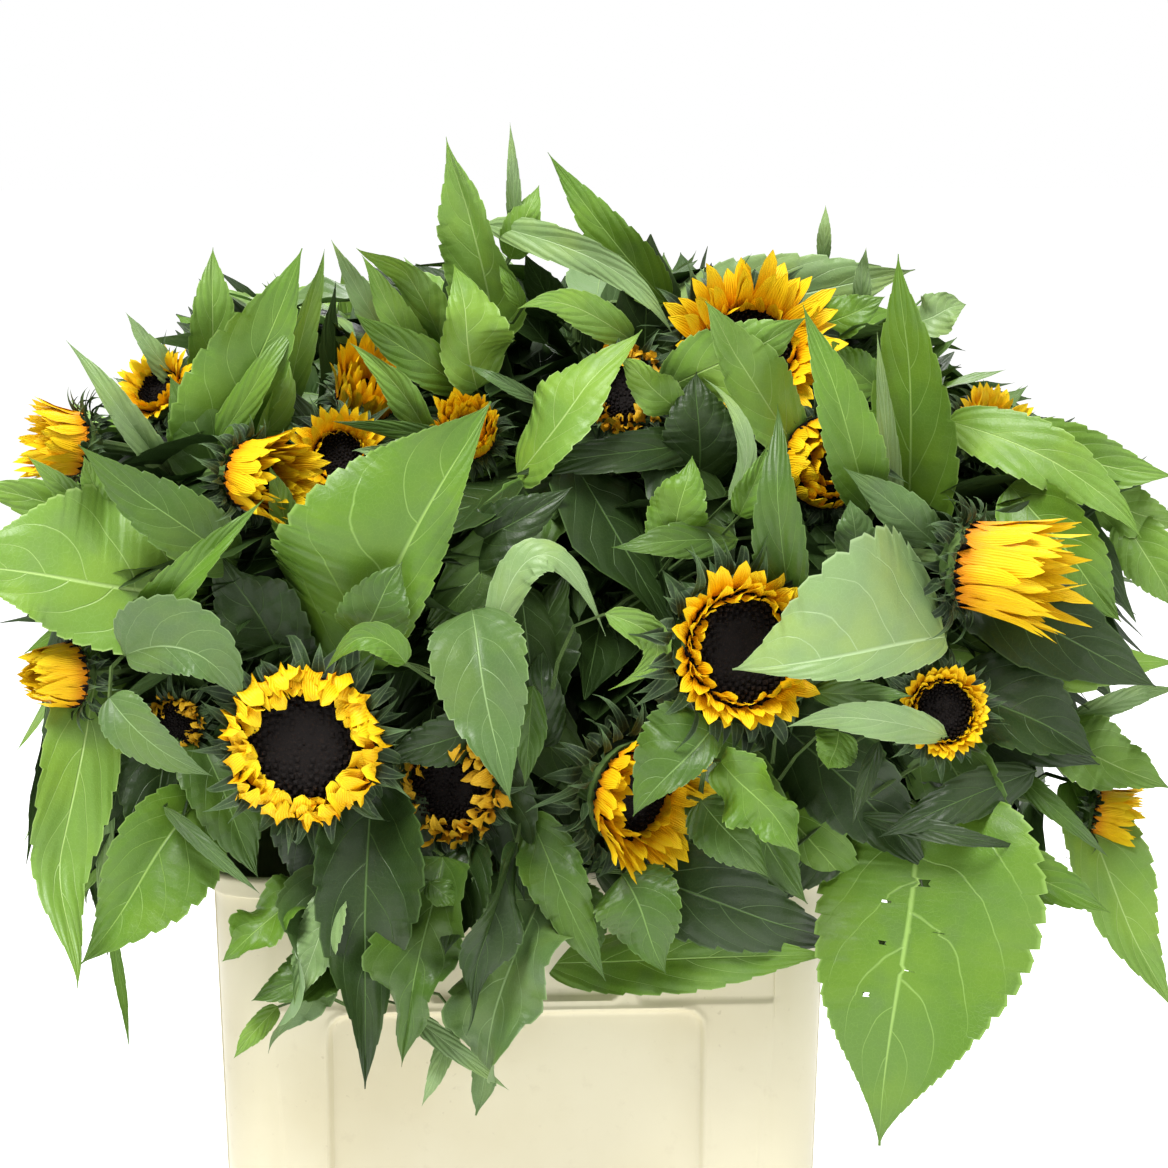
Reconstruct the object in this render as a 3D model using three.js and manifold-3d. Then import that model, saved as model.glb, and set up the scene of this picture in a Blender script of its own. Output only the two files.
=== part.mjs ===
// Cut sunflowers standing in a cream plastic flower bucket.
// Millimetres, +Z up, the front towards -Y. The origin is the middle of the bucket's underside.
import * as THREE from "three";
import { mergeVertices } from "three/addons/utils/BufferGeometryUtils.js";
import Module from "manifold-3d";

const wasm = await Module();
wasm.setup();

// ---- Driving dimensions -------------------------------------------------------------------

const BUCKET = {
  width: 380, // across the rim, along X
  depth: 280, // across the rim, along Y
  height: 400,
  corner: 35, // radius of the upright corners at the rim
  taper: 12, // how much each wall leans in from rim to base
  wall: 4.5,
  lipOut: 3, // how far the rolled lip stands proud of the wall
  lipDrop: 9,
  lipRound: 2, // the bevel over and under the lip
  cornerSteps: 6, // facets in each rounded corner
};
const PANEL = { left: -118, right: 110, bottom: 45, top: 311, corner: 14, deep: 2.2 };
const GRIP = { left: -58, right: 58, bottom: 320, top: 368, corner: 6, deep: 2.6 };

const PANEL_CORNER_STEPS = 3;
const CUT_OUT = 20; // how far a cutter runs out past the face it cuts
const GAP = 2; // clear space kept between neighbouring pieces
const CROWN_FLOOR = 432; // the crown's masses keep above the bucket's mouth
const CROWN_MIDDLE = [35, 0]; // the crown sits a little to the right of the bucket
const STEM = { count: 8, foot: 7.5, neck: 5.5, bottom: 5.5, top: 428, sides: 8 };
const STEM_SPREAD = { foot: [0.3, 0.2], neck: [0.42, 0.28] }; // share of the bloom's own offset
const STEM_RUN_OUT = 6; // how far a stem's cutter runs up past the stem

// A bloom's green cup, as shares of its radius and of the cup's own depth. The mouth is the space
// in front of its face that the leaves keep out of, and it opens out by a share of its depth.
const BLOOM = { sides: 10, cup: 0.62, foot: 0.24, shoulder: 0.8, shoulderDrop: 0.4 };
const MOUTH = { depth: 70, opening: 0.3 };

// A blade's outline as shares of its half width and its length: foot, belly and shoulder.
const BLADE = {
  thick: 4,
  foot: 1.1,
  belly: 1.25,
  bellyAt: 0.4,
  shoulder: 0.5,
  shoulderAt: 0.68,
  curveSteps: 4,
};

// A mass is a ball whose radius swells in one wave along each axis: how many radians the wave
// turns per unit, its height, and how far it starts on from one mass to the next.
const SWELL = { mean: 0.95, turns: [5, 6, 7], height: [0.07, 0.06, 0.06], start: [1.7, 2.3, 0.9] };
const MASS_DETAIL = { hanging: 1, standing: 2 }; // how often the ball's faces are split
const HALF_SPACE = 2000; // a block that stands for everything under the crown's floor

// The front elevation is drawn on an upright sheet through the bucket's front face, as seen from
// this eye. A place is given by its x and z on the sheet and by how far it stands in front of it.
const SHEET_Y = -BUCKET.depth / 2;
const EYE = new THREE.Vector3(-56, -1915, 860);

const COLOURS = {
  plastic: 0xe9e0c2,
  stem: 0x6f8f4e,
  leaf: 0x4f8a3c,
  petal: 0xf5b90a,
};

// Blooms of the front: x, z and forward place them; turn is the bearing they face (0 front,
// 90 right), lift how far they look up; radius is across the petals' foot, reach how far the
// petals stand out and flare how much they open (above 1) or close over the disc (below 1).
const FRONT_BLOOMS = [
  { name: "bloom_front_left", x: -131, z: 482, forward: 75, turn: -4, lift: 6, radius: 45, reach: 16, flare: 0.9 },
  { name: "bloom_centre_right", x: 131, z: 537, forward: 70, turn: 18, lift: 8, radius: 47, reach: 20, flare: 0.95 },
  { name: "bloom_right_side", x: 268, z: 588, forward: 45, turn: 62, lift: -6, radius: 30, reach: 58, flare: 1.25 },
  { name: "bloom_right_low", x: 254, z: 498, forward: 62, turn: 8, lift: 10, radius: 27, reach: 24, flare: 0.95 },
  { name: "bloom_low_left", x: -43, z: 455, forward: 35, turn: -22, lift: 0, radius: 33, reach: 14, flare: 0.9 },
  { name: "bloom_low_middle", x: 66, z: 450, forward: 42, turn: 38, lift: -8, radius: 41, reach: 22, flare: 0.9 },
  { name: "bloom_left_side", x: -268, z: 526, forward: 30, turn: -52, lift: 2, radius: 23, reach: 30, flare: 0.8 },
  { name: "bloom_top_right", x: 135, z: 716, forward: -70, turn: 6, lift: 24, radius: 47, reach: 20, flare: 1.05 },
  { name: "bloom_upper_right", x: 280, z: 664, forward: -75, turn: 38, lift: 34, radius: 29, reach: 30, flare: 1.15 },
  { name: "bloom_upper_left", x: -160, z: 645, forward: 22, turn: 42, lift: 0, radius: 24, reach: 34, flare: 1.1 },
  { name: "bloom_upper_left_inner", x: -108, z: 655, forward: -20, turn: 4, lift: 16, radius: 26, reach: 22, flare: 0.95 },
  { name: "bloom_far_left", x: -260, z: 664, forward: -30, turn: -68, lift: 8, radius: 22, reach: 30, flare: 1.1 },
  { name: "bloom_left_shoulder", x: -212, z: 694, forward: -75, turn: -38, lift: 36, radius: 24, reach: 26, flare: 1.1 },
  { name: "bloom_top_left", x: -92, z: 690, forward: -75, turn: 14, lift: 42, radius: 22, reach: 36, flare: 1.0 },
  { name: "bloom_middle_left", x: -32, z: 668, forward: -35, turn: -6, lift: 30, radius: 20, reach: 22, flare: 1.0 },
  { name: "bloom_upper_middle", x: 182, z: 650, forward: -15, turn: 10, lift: 6, radius: 33, reach: 22, flare: 0.95 },
  { name: "bloom_left_low", x: -208, z: 494, forward: 15, turn: -10, lift: 4, radius: 18, reach: 22, flare: 0.7 },
  { name: "bloom_right_lowest", x: 350, z: 434, forward: -25, turn: 72, lift: -8, radius: 18, reach: 26, flare: 1.15 },
  { name: "bloom_middle_top", x: 62, z: 694, forward: -55, turn: -8, lift: 18, radius: 27, reach: 6, flare: 0.9 },
];

// Blooms of the back stand on rings round the crown: how many, the bearings they span, their height
// with every second one raised by the stagger, and how far out they stand along X and Y.
const BACK_BLOOM = { reach: 22, flare: 1 };
const BACK_RINGS = [
  { count: 3, from: 128, to: 232, z: 540, stagger: 18, out: [285, 235], lift: 8, radius: 36 },
  { count: 3, from: 140, to: 225, z: 665, stagger: 18, out: [185, 175], lift: 34, radius: 33 },
];

// Single leaves that stand clear of the masses: base and tip are [x, z, forward], width is across
// the blade, and turn rolls it about its midrib.
const LEAVES = [
  { name: "leaf_low_right", base: [232, 418, 25], tip: [226, 222, 55], width: 124, turn: 0 },
  { name: "leaf_far_right", base: [352, 424, -45], tip: [404, 304, -20], width: 70, turn: 15 },
  { name: "leaf_low_left", base: [-276, 494, 5], tip: [-290, 338, 25], width: 62, turn: 0 },
  { name: "leaf_low_left_inner", base: [-226, 432, 15], tip: [-256, 342, 30], width: 66, turn: 0 },
  { name: "leaf_front_drape", base: [-104, 430, 70], tip: [-97, 266, 60], width: 72, turn: 0 },
  { name: "leaf_middle_drape", base: [2, 410, 45], tip: [-37, 252, 62], width: 80, turn: 0 },
  { name: "leaf_top_peak", base: [-22, 744, -70], tip: [-38, 842, -75], width: 56, turn: 0 },
  { name: "leaf_top_second", base: [62, 768, -80], tip: [16, 834, -85], width: 30, turn: 0 },
  { name: "leaf_right_upright", base: [246, 660, -5], tip: [231, 772, 0], width: 62, turn: 0 },
  { name: "leaf_left_upright", base: [-182, 712, -55], tip: [-179, 780, -60], width: 40, turn: 0 },
  { name: "leaf_left_tall", base: [-160, 712, -10], tip: [-129, 777, -20], width: 40, turn: 0 },
  { name: "leaf_left_reach", base: [-262, 588, 35], tip: [-334, 592, 40], width: 84, turn: 0 },
  { name: "leaf_right_reach", base: [330, 640, -70], tip: [392, 640, -75], width: 60, turn: 20 },
];

// Masses of leaves: middle and half sizes along X, Y and Z. Later ones are cut back from earlier ones.
const MASSES = [
  { name: "foliage_front", middle: [42, -150, 530], half: [182, 95, 125] },
  { name: "foliage_left", middle: [-208, -40, 552], half: [118, 162, 152] },
  { name: "foliage_right", middle: [285, -40, 545], half: [118, 165, 155] },
  { name: "foliage_top", middle: [20, 20, 690], half: [165, 150, 95] },
  { name: "foliage_shoulder_left", middle: [-150, 60, 660], half: [110, 150, 85] },
  { name: "foliage_shoulder_right", middle: [200, 60, 670], half: [115, 160, 90] },
  { name: "foliage_heart", middle: [30, 0, 560], half: [150, 140, 120] },
  { name: "foliage_back", middle: [35, 190, 560], half: [230, 115, 130] },
  { name: "foliage_drape_front", middle: [-110, -168, 365], half: [68, 20, 75], hangs: true },
  { name: "foliage_drape_middle", middle: [115, -172, 376], half: [80, 18, 42], hangs: true },
  { name: "foliage_drape_left", middle: [-255, 10, 400], half: [34, 110, 65], hangs: true },
  { name: "foliage_drape_right", middle: [300, 20, 392], half: [52, 110, 72], hangs: true },
  { name: "foliage_drape_back", middle: [10, 178, 380], half: [150, 24, 70], hangs: true },
];

// ---- Solids ---------------------------------------------------------------------------------

// A closed geometry as a manifold-3d solid, its faces turned out if they point in.
function solidOf(geometry) {
  const bare = new THREE.BufferGeometry();
  bare.setAttribute("position", geometry.getAttribute("position"));
  if (geometry.index) bare.setIndex(geometry.index);
  const merged = mergeVertices(bare, 1e-3);
  const vertProperties = merged.attributes.position.array;
  const triVerts = new Uint32Array(merged.index.array);
  const build = () => new wasm.Manifold(new wasm.Mesh({ numProp: 3, vertProperties, triVerts }));
  const first = build();
  if (first.volume() > 0) return first;
  triVerts.reverse();
  return build();
}

// A solid's vertices and triangles as a geometry.
function geometryOf(solid) {
  const mesh = solid.getMesh();
  const geometry = new THREE.BufferGeometry();
  geometry.setAttribute("position", new THREE.BufferAttribute(mesh.vertProperties, 3));
  geometry.setIndex(new THREE.BufferAttribute(mesh.triVerts, 1));
  geometry.computeVertexNormals();
  return geometry;
}

// The largest piece that is left of a solid once every cutter has been taken out of it.
function carve(solid, cutters) {
  const left = cutters.reduce((rest, cutter) => rest.subtract(cutter), solid);
  return left.decompose().reduce((a, b) => (b.volume() > a.volume() ? b : a));
}

function placed(geometry, matrix) {
  return solidOf(geometry.applyMatrix4(matrix));
}

// The point in the part's frame that the eye sees at (x, z) on the sheet, standing forward of it.
function seen(x, z, forward) {
  const onSheet = new THREE.Vector3(x, SHEET_Y, z);
  const share = forward / (SHEET_Y - EYE.y);
  return onSheet.lerp(EYE, share);
}

// The unit vector that faces a bearing (0 front, 90 right) and looks up by lift degrees.
function facing(turn, lift) {
  const bearing = THREE.MathUtils.degToRad(turn);
  const rise = THREE.MathUtils.degToRad(lift);
  return new THREE.Vector3(
    Math.sin(bearing) * Math.cos(rise),
    -Math.cos(bearing) * Math.cos(rise),
    Math.sin(rise),
  );
}

// ---- Bucket ---------------------------------------------------------------------------------

// A lathe whose circle is spread to a rounded rectangle: each quarter turns about its own corner.
function roundedLathe(profile) {
  const steps = 4 * BUCKET.cornerSteps;
  const start = Math.PI / steps;
  const lathe = new THREE.LatheGeometry(profile.map(([r, z]) => new THREE.Vector2(r, z)), steps, start);
  const spreadX = BUCKET.width / 2 - BUCKET.corner;
  const spreadY = BUCKET.depth / 2 - BUCKET.corner;
  const position = lathe.attributes.position;
  for (let i = 0; i < position.count; i++) {
    const [x, height, y] = [position.getX(i), position.getY(i), position.getZ(i)];
    const onAxis = Math.hypot(x, y) < 1e-6;
    position.setXYZ(
      i,
      onAxis ? 0 : x + Math.sign(x) * spreadX,
      onAxis ? 0 : y + Math.sign(y) * spreadY,
      height,
    );
  }
  return lathe;
}

// A rounded rectangle in the XZ plane, as a solid that runs along Y from nearer to further.
function slab({ left, right, bottom, top, corner }, nearer, further) {
  const shape = new THREE.Shape();
  shape.moveTo(left + corner, bottom);
  shape.lineTo(right - corner, bottom);
  shape.absarc(right - corner, bottom + corner, corner, -Math.PI / 2, 0, false);
  shape.absarc(right - corner, top - corner, corner, 0, Math.PI / 2, false);
  shape.absarc(left + corner, top - corner, corner, Math.PI / 2, Math.PI, false);
  shape.absarc(left + corner, bottom + corner, corner, Math.PI, 1.5 * Math.PI, false);
  const geometry = new THREE.ExtrudeGeometry(shape, {
    depth: further - nearer,
    bevelEnabled: false,
    curveSegments: PANEL_CORNER_STEPS,
  });
  const matrix = new THREE.Matrix4().makeTranslation(0, further, 0);
  return placed(geometry, matrix.multiply(new THREE.Matrix4().makeRotationX(Math.PI / 2)));
}

// The wall's distance from the corner centres at a height: it grows from base to rim.
function wallRadius(z) {
  return BUCKET.corner - BUCKET.taper * (1 - z / BUCKET.height);
}

function bucketSolid() {
  const { height, wall, lipOut, lipDrop, lipRound } = BUCKET;
  const outer = wallRadius(height);
  const shell = solidOf(roundedLathe([
    [0, 0],
    [wallRadius(0), 0],
    [wallRadius(height - lipDrop), height - lipDrop],
    [outer + lipOut, height - lipDrop + lipRound],
    [outer + lipOut, height - lipRound],
    [outer, height],
    [outer - wall, height],
    [wallRadius(wall) - wall, wall],
    [0, wall],
  ]));
  // A recess follows the leaning wall: its slab turns with the taper about the wall's foot.
  const lean = Math.atan2(BUCKET.taper, height);
  const face = BUCKET.depth / 2 - BUCKET.taper;
  const recesses = [PANEL, GRIP].flatMap((panel) => {
    const upright = slab(panel, -CUT_OUT, panel.deep);
    const front = upright.rotate([THREE.MathUtils.radToDeg(lean), 0, 0]).translate([0, -face, 0]);
    return [front, front.rotate([0, 0, 180])];
  });
  return carve(shell, recesses);
}

// What the masses keep out of: the bucket and the space just over its mouth.
function bucketCutter() {
  const outer = BUCKET.corner + BUCKET.lipOut + 2 * GAP;
  return solidOf(roundedLathe([
    [0, -GAP],
    [outer, -GAP],
    [outer, CROWN_FLOOR],
    [0, CROWN_FLOOR],
  ]));
}

// ---- Blooms, stems and leaves ---------------------------------------------------------------

// A bloom turned on its own axis: stem end, green cup, petals' foot at zero, and the petals.
// With a mouth it is a cutter, which goes on opening out for that far in front of the petals.
function bloomSolid({ place, axis, radius, reach, flare }, grow = 0, mouth = 0) {
  const cup = BLOOM.cup * radius;
  const wide = radius + grow;
  const rim = flare * radius + grow;
  const front = reach + grow;
  const profile = [
    [0, -cup - grow],
    [BLOOM.foot * radius + grow, -cup - grow],
    [BLOOM.shoulder * wide, -BLOOM.shoulderDrop * cup],
    [wide, 0],
    [rim, front],
    ...(mouth ? [[rim + MOUTH.opening * mouth, front + mouth], [0, front + mouth]] : [[0, front]]),
  ];
  const lathe = new THREE.LatheGeometry(profile.map(([r, z]) => new THREE.Vector2(r, z)), BLOOM.sides);
  const turn = new THREE.Quaternion().setFromUnitVectors(new THREE.Vector3(0, 1, 0), axis);
  const matrix = new THREE.Matrix4().compose(place, turn, new THREE.Vector3(1, 1, 1));
  return placed(lathe, matrix);
}

function allBlooms() {
  const front = FRONT_BLOOMS.map((bloom) => ({
    ...bloom,
    place: seen(bloom.x, bloom.z, bloom.forward),
    axis: facing(bloom.turn, bloom.lift),
  }));
  const back = BACK_RINGS.flatMap((ring, level) =>
    Array.from({ length: ring.count }, (_, i) => {
      const turn = ring.from + ((ring.to - ring.from) * i) / (ring.count - 1);
      const out = facing(turn, 0);
      const [outX, outY] = ring.out;
      return {
        ...BACK_BLOOM,
        radius: ring.radius,
        name: `bloom_back_${level + 1}_${i + 1}`,
        turn,
        place: new THREE.Vector3(
          CROWN_MIDDLE[0] + out.x * outX,
          CROWN_MIDDLE[1] + out.y * outY,
          ring.z + ring.stagger * (i % 2),
        ),
        axis: facing(turn, ring.lift),
      };
    }),
  );
  return [...front, ...back];
}

// The blooms whose stems are pieces of their own: the broadest ones.
function stemmedBlooms(blooms) {
  return [...blooms].sort((a, b) => b.radius - a.radius).slice(0, STEM.count);
}

// A stem from its cut foot on the bucket's floor to where it enters the leaves over the mouth.
function stemSolid(place, grow = 0, runOut = 0) {
  const at = ([shareX, shareY], z) => new THREE.Vector3(
    (place.x - CROWN_MIDDLE[0]) * shareX,
    (place.y - CROWN_MIDDLE[1]) * shareY,
    z,
  );
  const foot = at(STEM_SPREAD.foot, STEM.bottom);
  const neck = at(STEM_SPREAD.neck, STEM.top + runOut);
  const length = foot.distanceTo(neck);
  const rod = new THREE.CylinderGeometry(STEM.neck + grow, STEM.foot + grow, length, STEM.sides);
  const turn = new THREE.Quaternion().setFromUnitVectors(
    new THREE.Vector3(0, 1, 0),
    neck.clone().sub(foot).normalize(),
  );
  const middle = foot.add(neck).multiplyScalar(0.5);
  return placed(rod, new THREE.Matrix4().compose(middle, turn, new THREE.Vector3(1, 1, 1)));
}

// A blade in its own outline: a rounded foot, widest at a third of its length, and a drawn-out tip.
function leafSolid({ base, tip, width, turn }, grow = 0) {
  const from = seen(...base);
  const to = seen(...tip);
  const length = from.distanceTo(to) + grow;
  const half = width / 2 + grow;
  const outline = new THREE.Shape();
  outline.moveTo(0, -grow);
  const foot = half * BLADE.foot;
  const belly = [half * BLADE.belly, length * BLADE.bellyAt];
  const shoulder = [half * BLADE.shoulder, length * BLADE.shoulderAt];
  outline.bezierCurveTo(foot, -grow, ...belly, ...shoulder);
  outline.lineTo(0, length);
  outline.lineTo(-shoulder[0], shoulder[1]);
  outline.bezierCurveTo(-belly[0], belly[1], -foot, -grow, 0, -grow);
  const thick = BLADE.thick + 2 * grow;
  const blade = new THREE.ExtrudeGeometry(outline, {
    depth: thick,
    bevelEnabled: false,
    curveSegments: BLADE.curveSteps,
  });
  blade.translate(0, 0, -thick / 2);
  const along = to.clone().sub(from).normalize();
  const towards = EYE.clone().sub(from).normalize();
  const across = new THREE.Vector3().crossVectors(along, towards).normalize();
  const normal = new THREE.Vector3().crossVectors(across, along);
  const matrix = new THREE.Matrix4().makeBasis(across, along, normal).setPosition(from);
  const roll = new THREE.Matrix4().makeRotationY(THREE.MathUtils.degToRad(turn));
  return placed(blade, matrix.multiply(roll));
}

// An uneven lump: a ball whose radius swells and sinks in three crossing waves.
function massSolid({ middle, half, hangs }, index, grow = 0) {
  const ball = new THREE.IcosahedronGeometry(1, hangs ? MASS_DETAIL.hanging : MASS_DETAIL.standing);
  const position = ball.attributes.position;
  const point = new THREE.Vector3();
  for (let i = 0; i < position.count; i++) {
    point.fromBufferAttribute(position, i).normalize();
    const swell = point.toArray().reduce(
      (sum, along, axis) =>
        sum + SWELL.height[axis] * Math.sin(SWELL.turns[axis] * along + SWELL.start[axis] * index),
      SWELL.mean,
    );
    point.multiplyScalar(swell);
    position.setXYZ(
      i,
      point.x * (half[0] + grow) + middle[0],
      point.y * (half[1] + grow) + middle[1],
      point.z * (half[2] + grow) + middle[2],
    );
  }
  return solidOf(ball);
}

// The space below the crown's floor, which the masses that don't hang are kept out of.
function underCrown() {
  return placed(
    new THREE.BoxGeometry(HALF_SPACE, HALF_SPACE, HALF_SPACE),
    new THREE.Matrix4().makeTranslation(0, 0, CROWN_FLOOR - HALF_SPACE / 2),
  );
}

// ---- Assembly -------------------------------------------------------------------------------

const materials = Object.fromEntries(
  Object.entries(COLOURS).map(([name, color]) => [
    name,
    new THREE.MeshStandardMaterial({ name, color, roughness: name === "plastic" ? 0.45 : 0.6, metalness: 0 }),
  ]),
);

const part = new THREE.Group();
part.name = "sunflowers_in_bucket";

function addPiece(name, solid, material) {
  const mesh = new THREE.Mesh(geometryOf(solid), materials[material]);
  mesh.name = name;
  part.add(mesh);
}

addPiece("bucket", bucketSolid(), "plastic");

const blooms = allBlooms();
for (const bloom of blooms) addPiece(bloom.name, bloomSolid(bloom), "petal");

const stemmed = stemmedBlooms(blooms);
stemmed.forEach(({ place }, i) => addPiece(`stem_${i + 1}`, stemSolid(place), "stem"));

const stemSpaces = stemmed.map(({ place }) => stemSolid(place, GAP, STEM_RUN_OUT));
const stemCutters = [bucketCutter(), ...stemSpaces];
const closeCutters = [...stemCutters, ...blooms.map((bloom) => bloomSolid(bloom, GAP))];
const openCutters = [...stemCutters, ...blooms.map((bloom) => bloomSolid(bloom, GAP, MOUTH.depth))];

const leafCutters = [];
for (const leaf of LEAVES) {
  addPiece(leaf.name, carve(leafSolid(leaf), [...closeCutters, ...leafCutters]), "leaf");
  leafCutters.push(leafSolid(leaf, GAP));
}

const massCutters = [];
MASSES.forEach((mass, i) => {
  const keptOut = mass.hangs ? [] : [underCrown()];
  const cutters = [...keptOut, ...openCutters, ...leafCutters, ...massCutters];
  addPiece(mass.name, carve(massSolid(mass, i), cutters), "leaf");
  massCutters.push(massSolid(mass, i, GAP));
});

export default part;
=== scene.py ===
"""Cut sunflowers in a cream flower bucket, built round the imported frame.

The bucket, the stems, the flower heads and the leaves are surfaces worked out with numpy. Lengths
that a maker would read off a rule are in millimetres; meshes are in metres, in the frame's axes.
"""

from __future__ import annotations

import itertools
import logging
import math
from dataclasses import dataclass, field
from enum import Enum
from functools import lru_cache
from typing import Sequence

import bpy
import numpy as np
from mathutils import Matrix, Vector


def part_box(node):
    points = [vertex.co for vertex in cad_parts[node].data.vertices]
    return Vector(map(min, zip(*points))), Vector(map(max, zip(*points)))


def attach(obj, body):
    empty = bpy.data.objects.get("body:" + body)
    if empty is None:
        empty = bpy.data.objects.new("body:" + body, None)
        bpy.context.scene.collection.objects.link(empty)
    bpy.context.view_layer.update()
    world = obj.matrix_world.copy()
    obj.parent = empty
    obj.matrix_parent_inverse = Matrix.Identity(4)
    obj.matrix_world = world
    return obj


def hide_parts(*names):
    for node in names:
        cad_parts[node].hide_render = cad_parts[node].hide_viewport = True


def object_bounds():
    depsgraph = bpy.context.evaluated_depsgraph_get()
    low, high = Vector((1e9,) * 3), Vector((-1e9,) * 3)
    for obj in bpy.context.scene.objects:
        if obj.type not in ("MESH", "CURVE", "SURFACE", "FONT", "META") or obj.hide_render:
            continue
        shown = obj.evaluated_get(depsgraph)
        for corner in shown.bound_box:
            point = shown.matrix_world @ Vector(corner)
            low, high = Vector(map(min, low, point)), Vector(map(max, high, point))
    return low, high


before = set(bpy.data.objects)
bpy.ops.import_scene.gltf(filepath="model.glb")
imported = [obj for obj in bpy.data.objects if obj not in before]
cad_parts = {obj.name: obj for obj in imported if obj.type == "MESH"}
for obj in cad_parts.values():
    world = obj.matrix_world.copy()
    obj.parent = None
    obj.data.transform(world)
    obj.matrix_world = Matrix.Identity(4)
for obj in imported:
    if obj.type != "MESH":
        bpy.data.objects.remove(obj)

Array = np.ndarray
Colour = tuple[float, float, float]

CAD_BOX = [list(corner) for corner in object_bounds()]
MM = 0.001
UP = np.array([0.0, 0.0, 1.0])
SEED = 20317
BODY = "root"

log = logging.getLogger("sunflowers")


# ---- Small maths ------------------------------------------------------------------------------


def unit(vectors: Array) -> Array:
    """Vectors scaled to length one along the last axis."""
    return vectors / np.maximum(np.linalg.norm(vectors, axis=-1, keepdims=True), 1e-12)


def smooth(values: Array, low: float, high: float) -> Array:
    """Zero below low, one above high, and three t squared less two t cubed between them."""
    t = np.clip((values - low) / (high - low), 0.0, 1.0)
    return t * t * (3.0 - 2.0 * t)


def turned(vectors: Array, axis: Array, angle: Array | float) -> Array:
    """Turns vectors about a unit axis: the part along it stays, and the rest turns.

    Args:
        vectors: what is turned, (..., 3).
        axis: the unit axis, of a shape that fits the vectors.
        angle: the angle in radians, one or one to a vector.

    Returns:
        The turned vectors.
    """
    angle = np.asarray(angle)[..., None]
    along = np.sum(vectors * axis, axis=-1, keepdims=True) * axis
    across = vectors - along
    return along + across * np.cos(angle) + np.cross(axis, across) * np.sin(angle)


def bezier(points: Sequence[Array], t: Array) -> Array:
    """A Bezier curve: neighbouring control points are blended until one is left.

    Args:
        points: the control points, of which the curve meets the first and the last.
        t: the places along the curve, from 0 to 1.

    Returns:
        A point for each place, (n, 3).
    """
    share = t[:, None]
    levels = [np.asarray(point, float)[None] for point in points]
    while len(levels) > 1:
        levels = [a * (1.0 - share) + b * share for a, b in zip(levels, levels[1:])]
    return levels[0]


def linear(red: int, green: int, blue: int) -> Colour:
    """Turns a screen colour into the linear values that a shader takes.

    Args:
        red, green, blue: the screen colour, each from 0 to 255.

    Returns:
        The same colour, each value from 0 to 1.
    """

    def one(value: int) -> float:
        """One channel, by the screen's own curve."""
        share = value / 255.0
        return share / 12.92 if share <= 0.04045 else ((share + 0.055) / 1.055) ** 2.4

    return one(red), one(green), one(blue)


# ---- The front elevation ----------------------------------------------------------------------


@dataclass(frozen=True)
class Elevation:
    """The upright sheet through the bucket's front face on which the front is laid out.

    A place is given by x and z on the sheet and by how far it stands forward of the sheet, along
    the line of sight from the eye, all in millimetres.
    """

    eye: tuple[float, float, float] = (-56.0, -1915.4, 859.6)
    sheet: float = -140.0

    def place(self, x: float, z: float, forward: float) -> Array:
        """The point that is seen at a place and stands forward of the sheet.

        Args:
            x, z: the place on the sheet, in millimetres.
            forward: how far it stands forward of the sheet, in millimetres.

        Returns:
            The point, in metres.
        """
        eye = np.array(self.eye)
        share = forward / (self.sheet - eye[1])
        return (np.array([x, self.sheet, z]) * (1.0 - share) + eye * share) * MM

    def read(self, points: Array) -> Array:
        """Reads points off the elevation: the line from the eye to each is met with the sheet.

        Args:
            points: the points, (n, 3), in metres.

        Returns:
            Columns x, z and forward, (n, 3), in millimetres.
        """
        eye = np.array(self.eye)
        away = points / MM - eye
        share = (self.sheet - eye[1]) / away[:, 1]
        on_sheet = eye + away * share[:, None]
        return np.stack([on_sheet[:, 0], on_sheet[:, 2], self.sheet - points[:, 1] / MM], 1)

    def towards_eye(self, point: Array) -> Array:
        """The unit vector from a point, in metres, to the eye."""
        return unit(np.array(self.eye) * MM - point)


ELEVATION = Elevation()


# ---- Meshes -----------------------------------------------------------------------------------


class Batch:
    """Surfaces gathered to be joined in one mesh, each face with its UV corners and material."""

    def __init__(self) -> None:
        """Starts with no surface."""
        self.vertices: list[Array] = []
        self.quads: list[Array] = []
        self.uvs: list[Array] = []
        self.slots: list[Array] = []
        self.count = 0

    def add(self, vertices: Array, quads: Array, uvs: Array, slot: int = 0) -> None:
        """Adds one surface.

        Args:
            vertices: its points, (n, 3), in metres.
            quads: its faces, (m, 4), as indices of those points.
            uvs: the UV of each face corner, (m, 4, 2).
            slot: the material slot of all its faces.
        """
        self.vertices.append(vertices)
        self.quads.append(quads + self.count)
        self.uvs.append(uvs)
        self.slots.append(np.full(len(quads), slot))
        self.count += len(vertices)

    @property
    def faces(self) -> int:
        """How many quads are gathered."""
        return sum(len(q) for q in self.quads)

    def build(
        self, name: str, materials: Sequence[bpy.types.Material], crease: float = 55.0
    ) -> bpy.types.Object:
        """Makes the object that holds every surface gathered.

        Args:
            name: the object's name.
            materials: its material slots.
            crease: the angle in degrees above which an edge stays sharp.

        Returns:
            The object, linked to the scene, at the origin.
        """
        mesh = bpy.data.meshes.new(name)
        mesh.from_pydata(np.concatenate(self.vertices), [], np.concatenate(self.quads))
        layer = mesh.uv_layers.new(name="UVMap")
        layer.data.foreach_set("uv", np.concatenate(self.uvs).astype(np.float32).ravel())
        mesh.polygons.foreach_set("material_index", np.concatenate(self.slots).astype(np.int32))
        for material in materials:
            mesh.materials.append(material)
        mesh.shade_smooth()
        mesh.set_sharp_from_angle(angle=math.radians(crease))
        mesh.update()
        piece = bpy.data.objects.new(name, mesh)
        bpy.context.scene.collection.objects.link(piece)
        return piece


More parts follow.
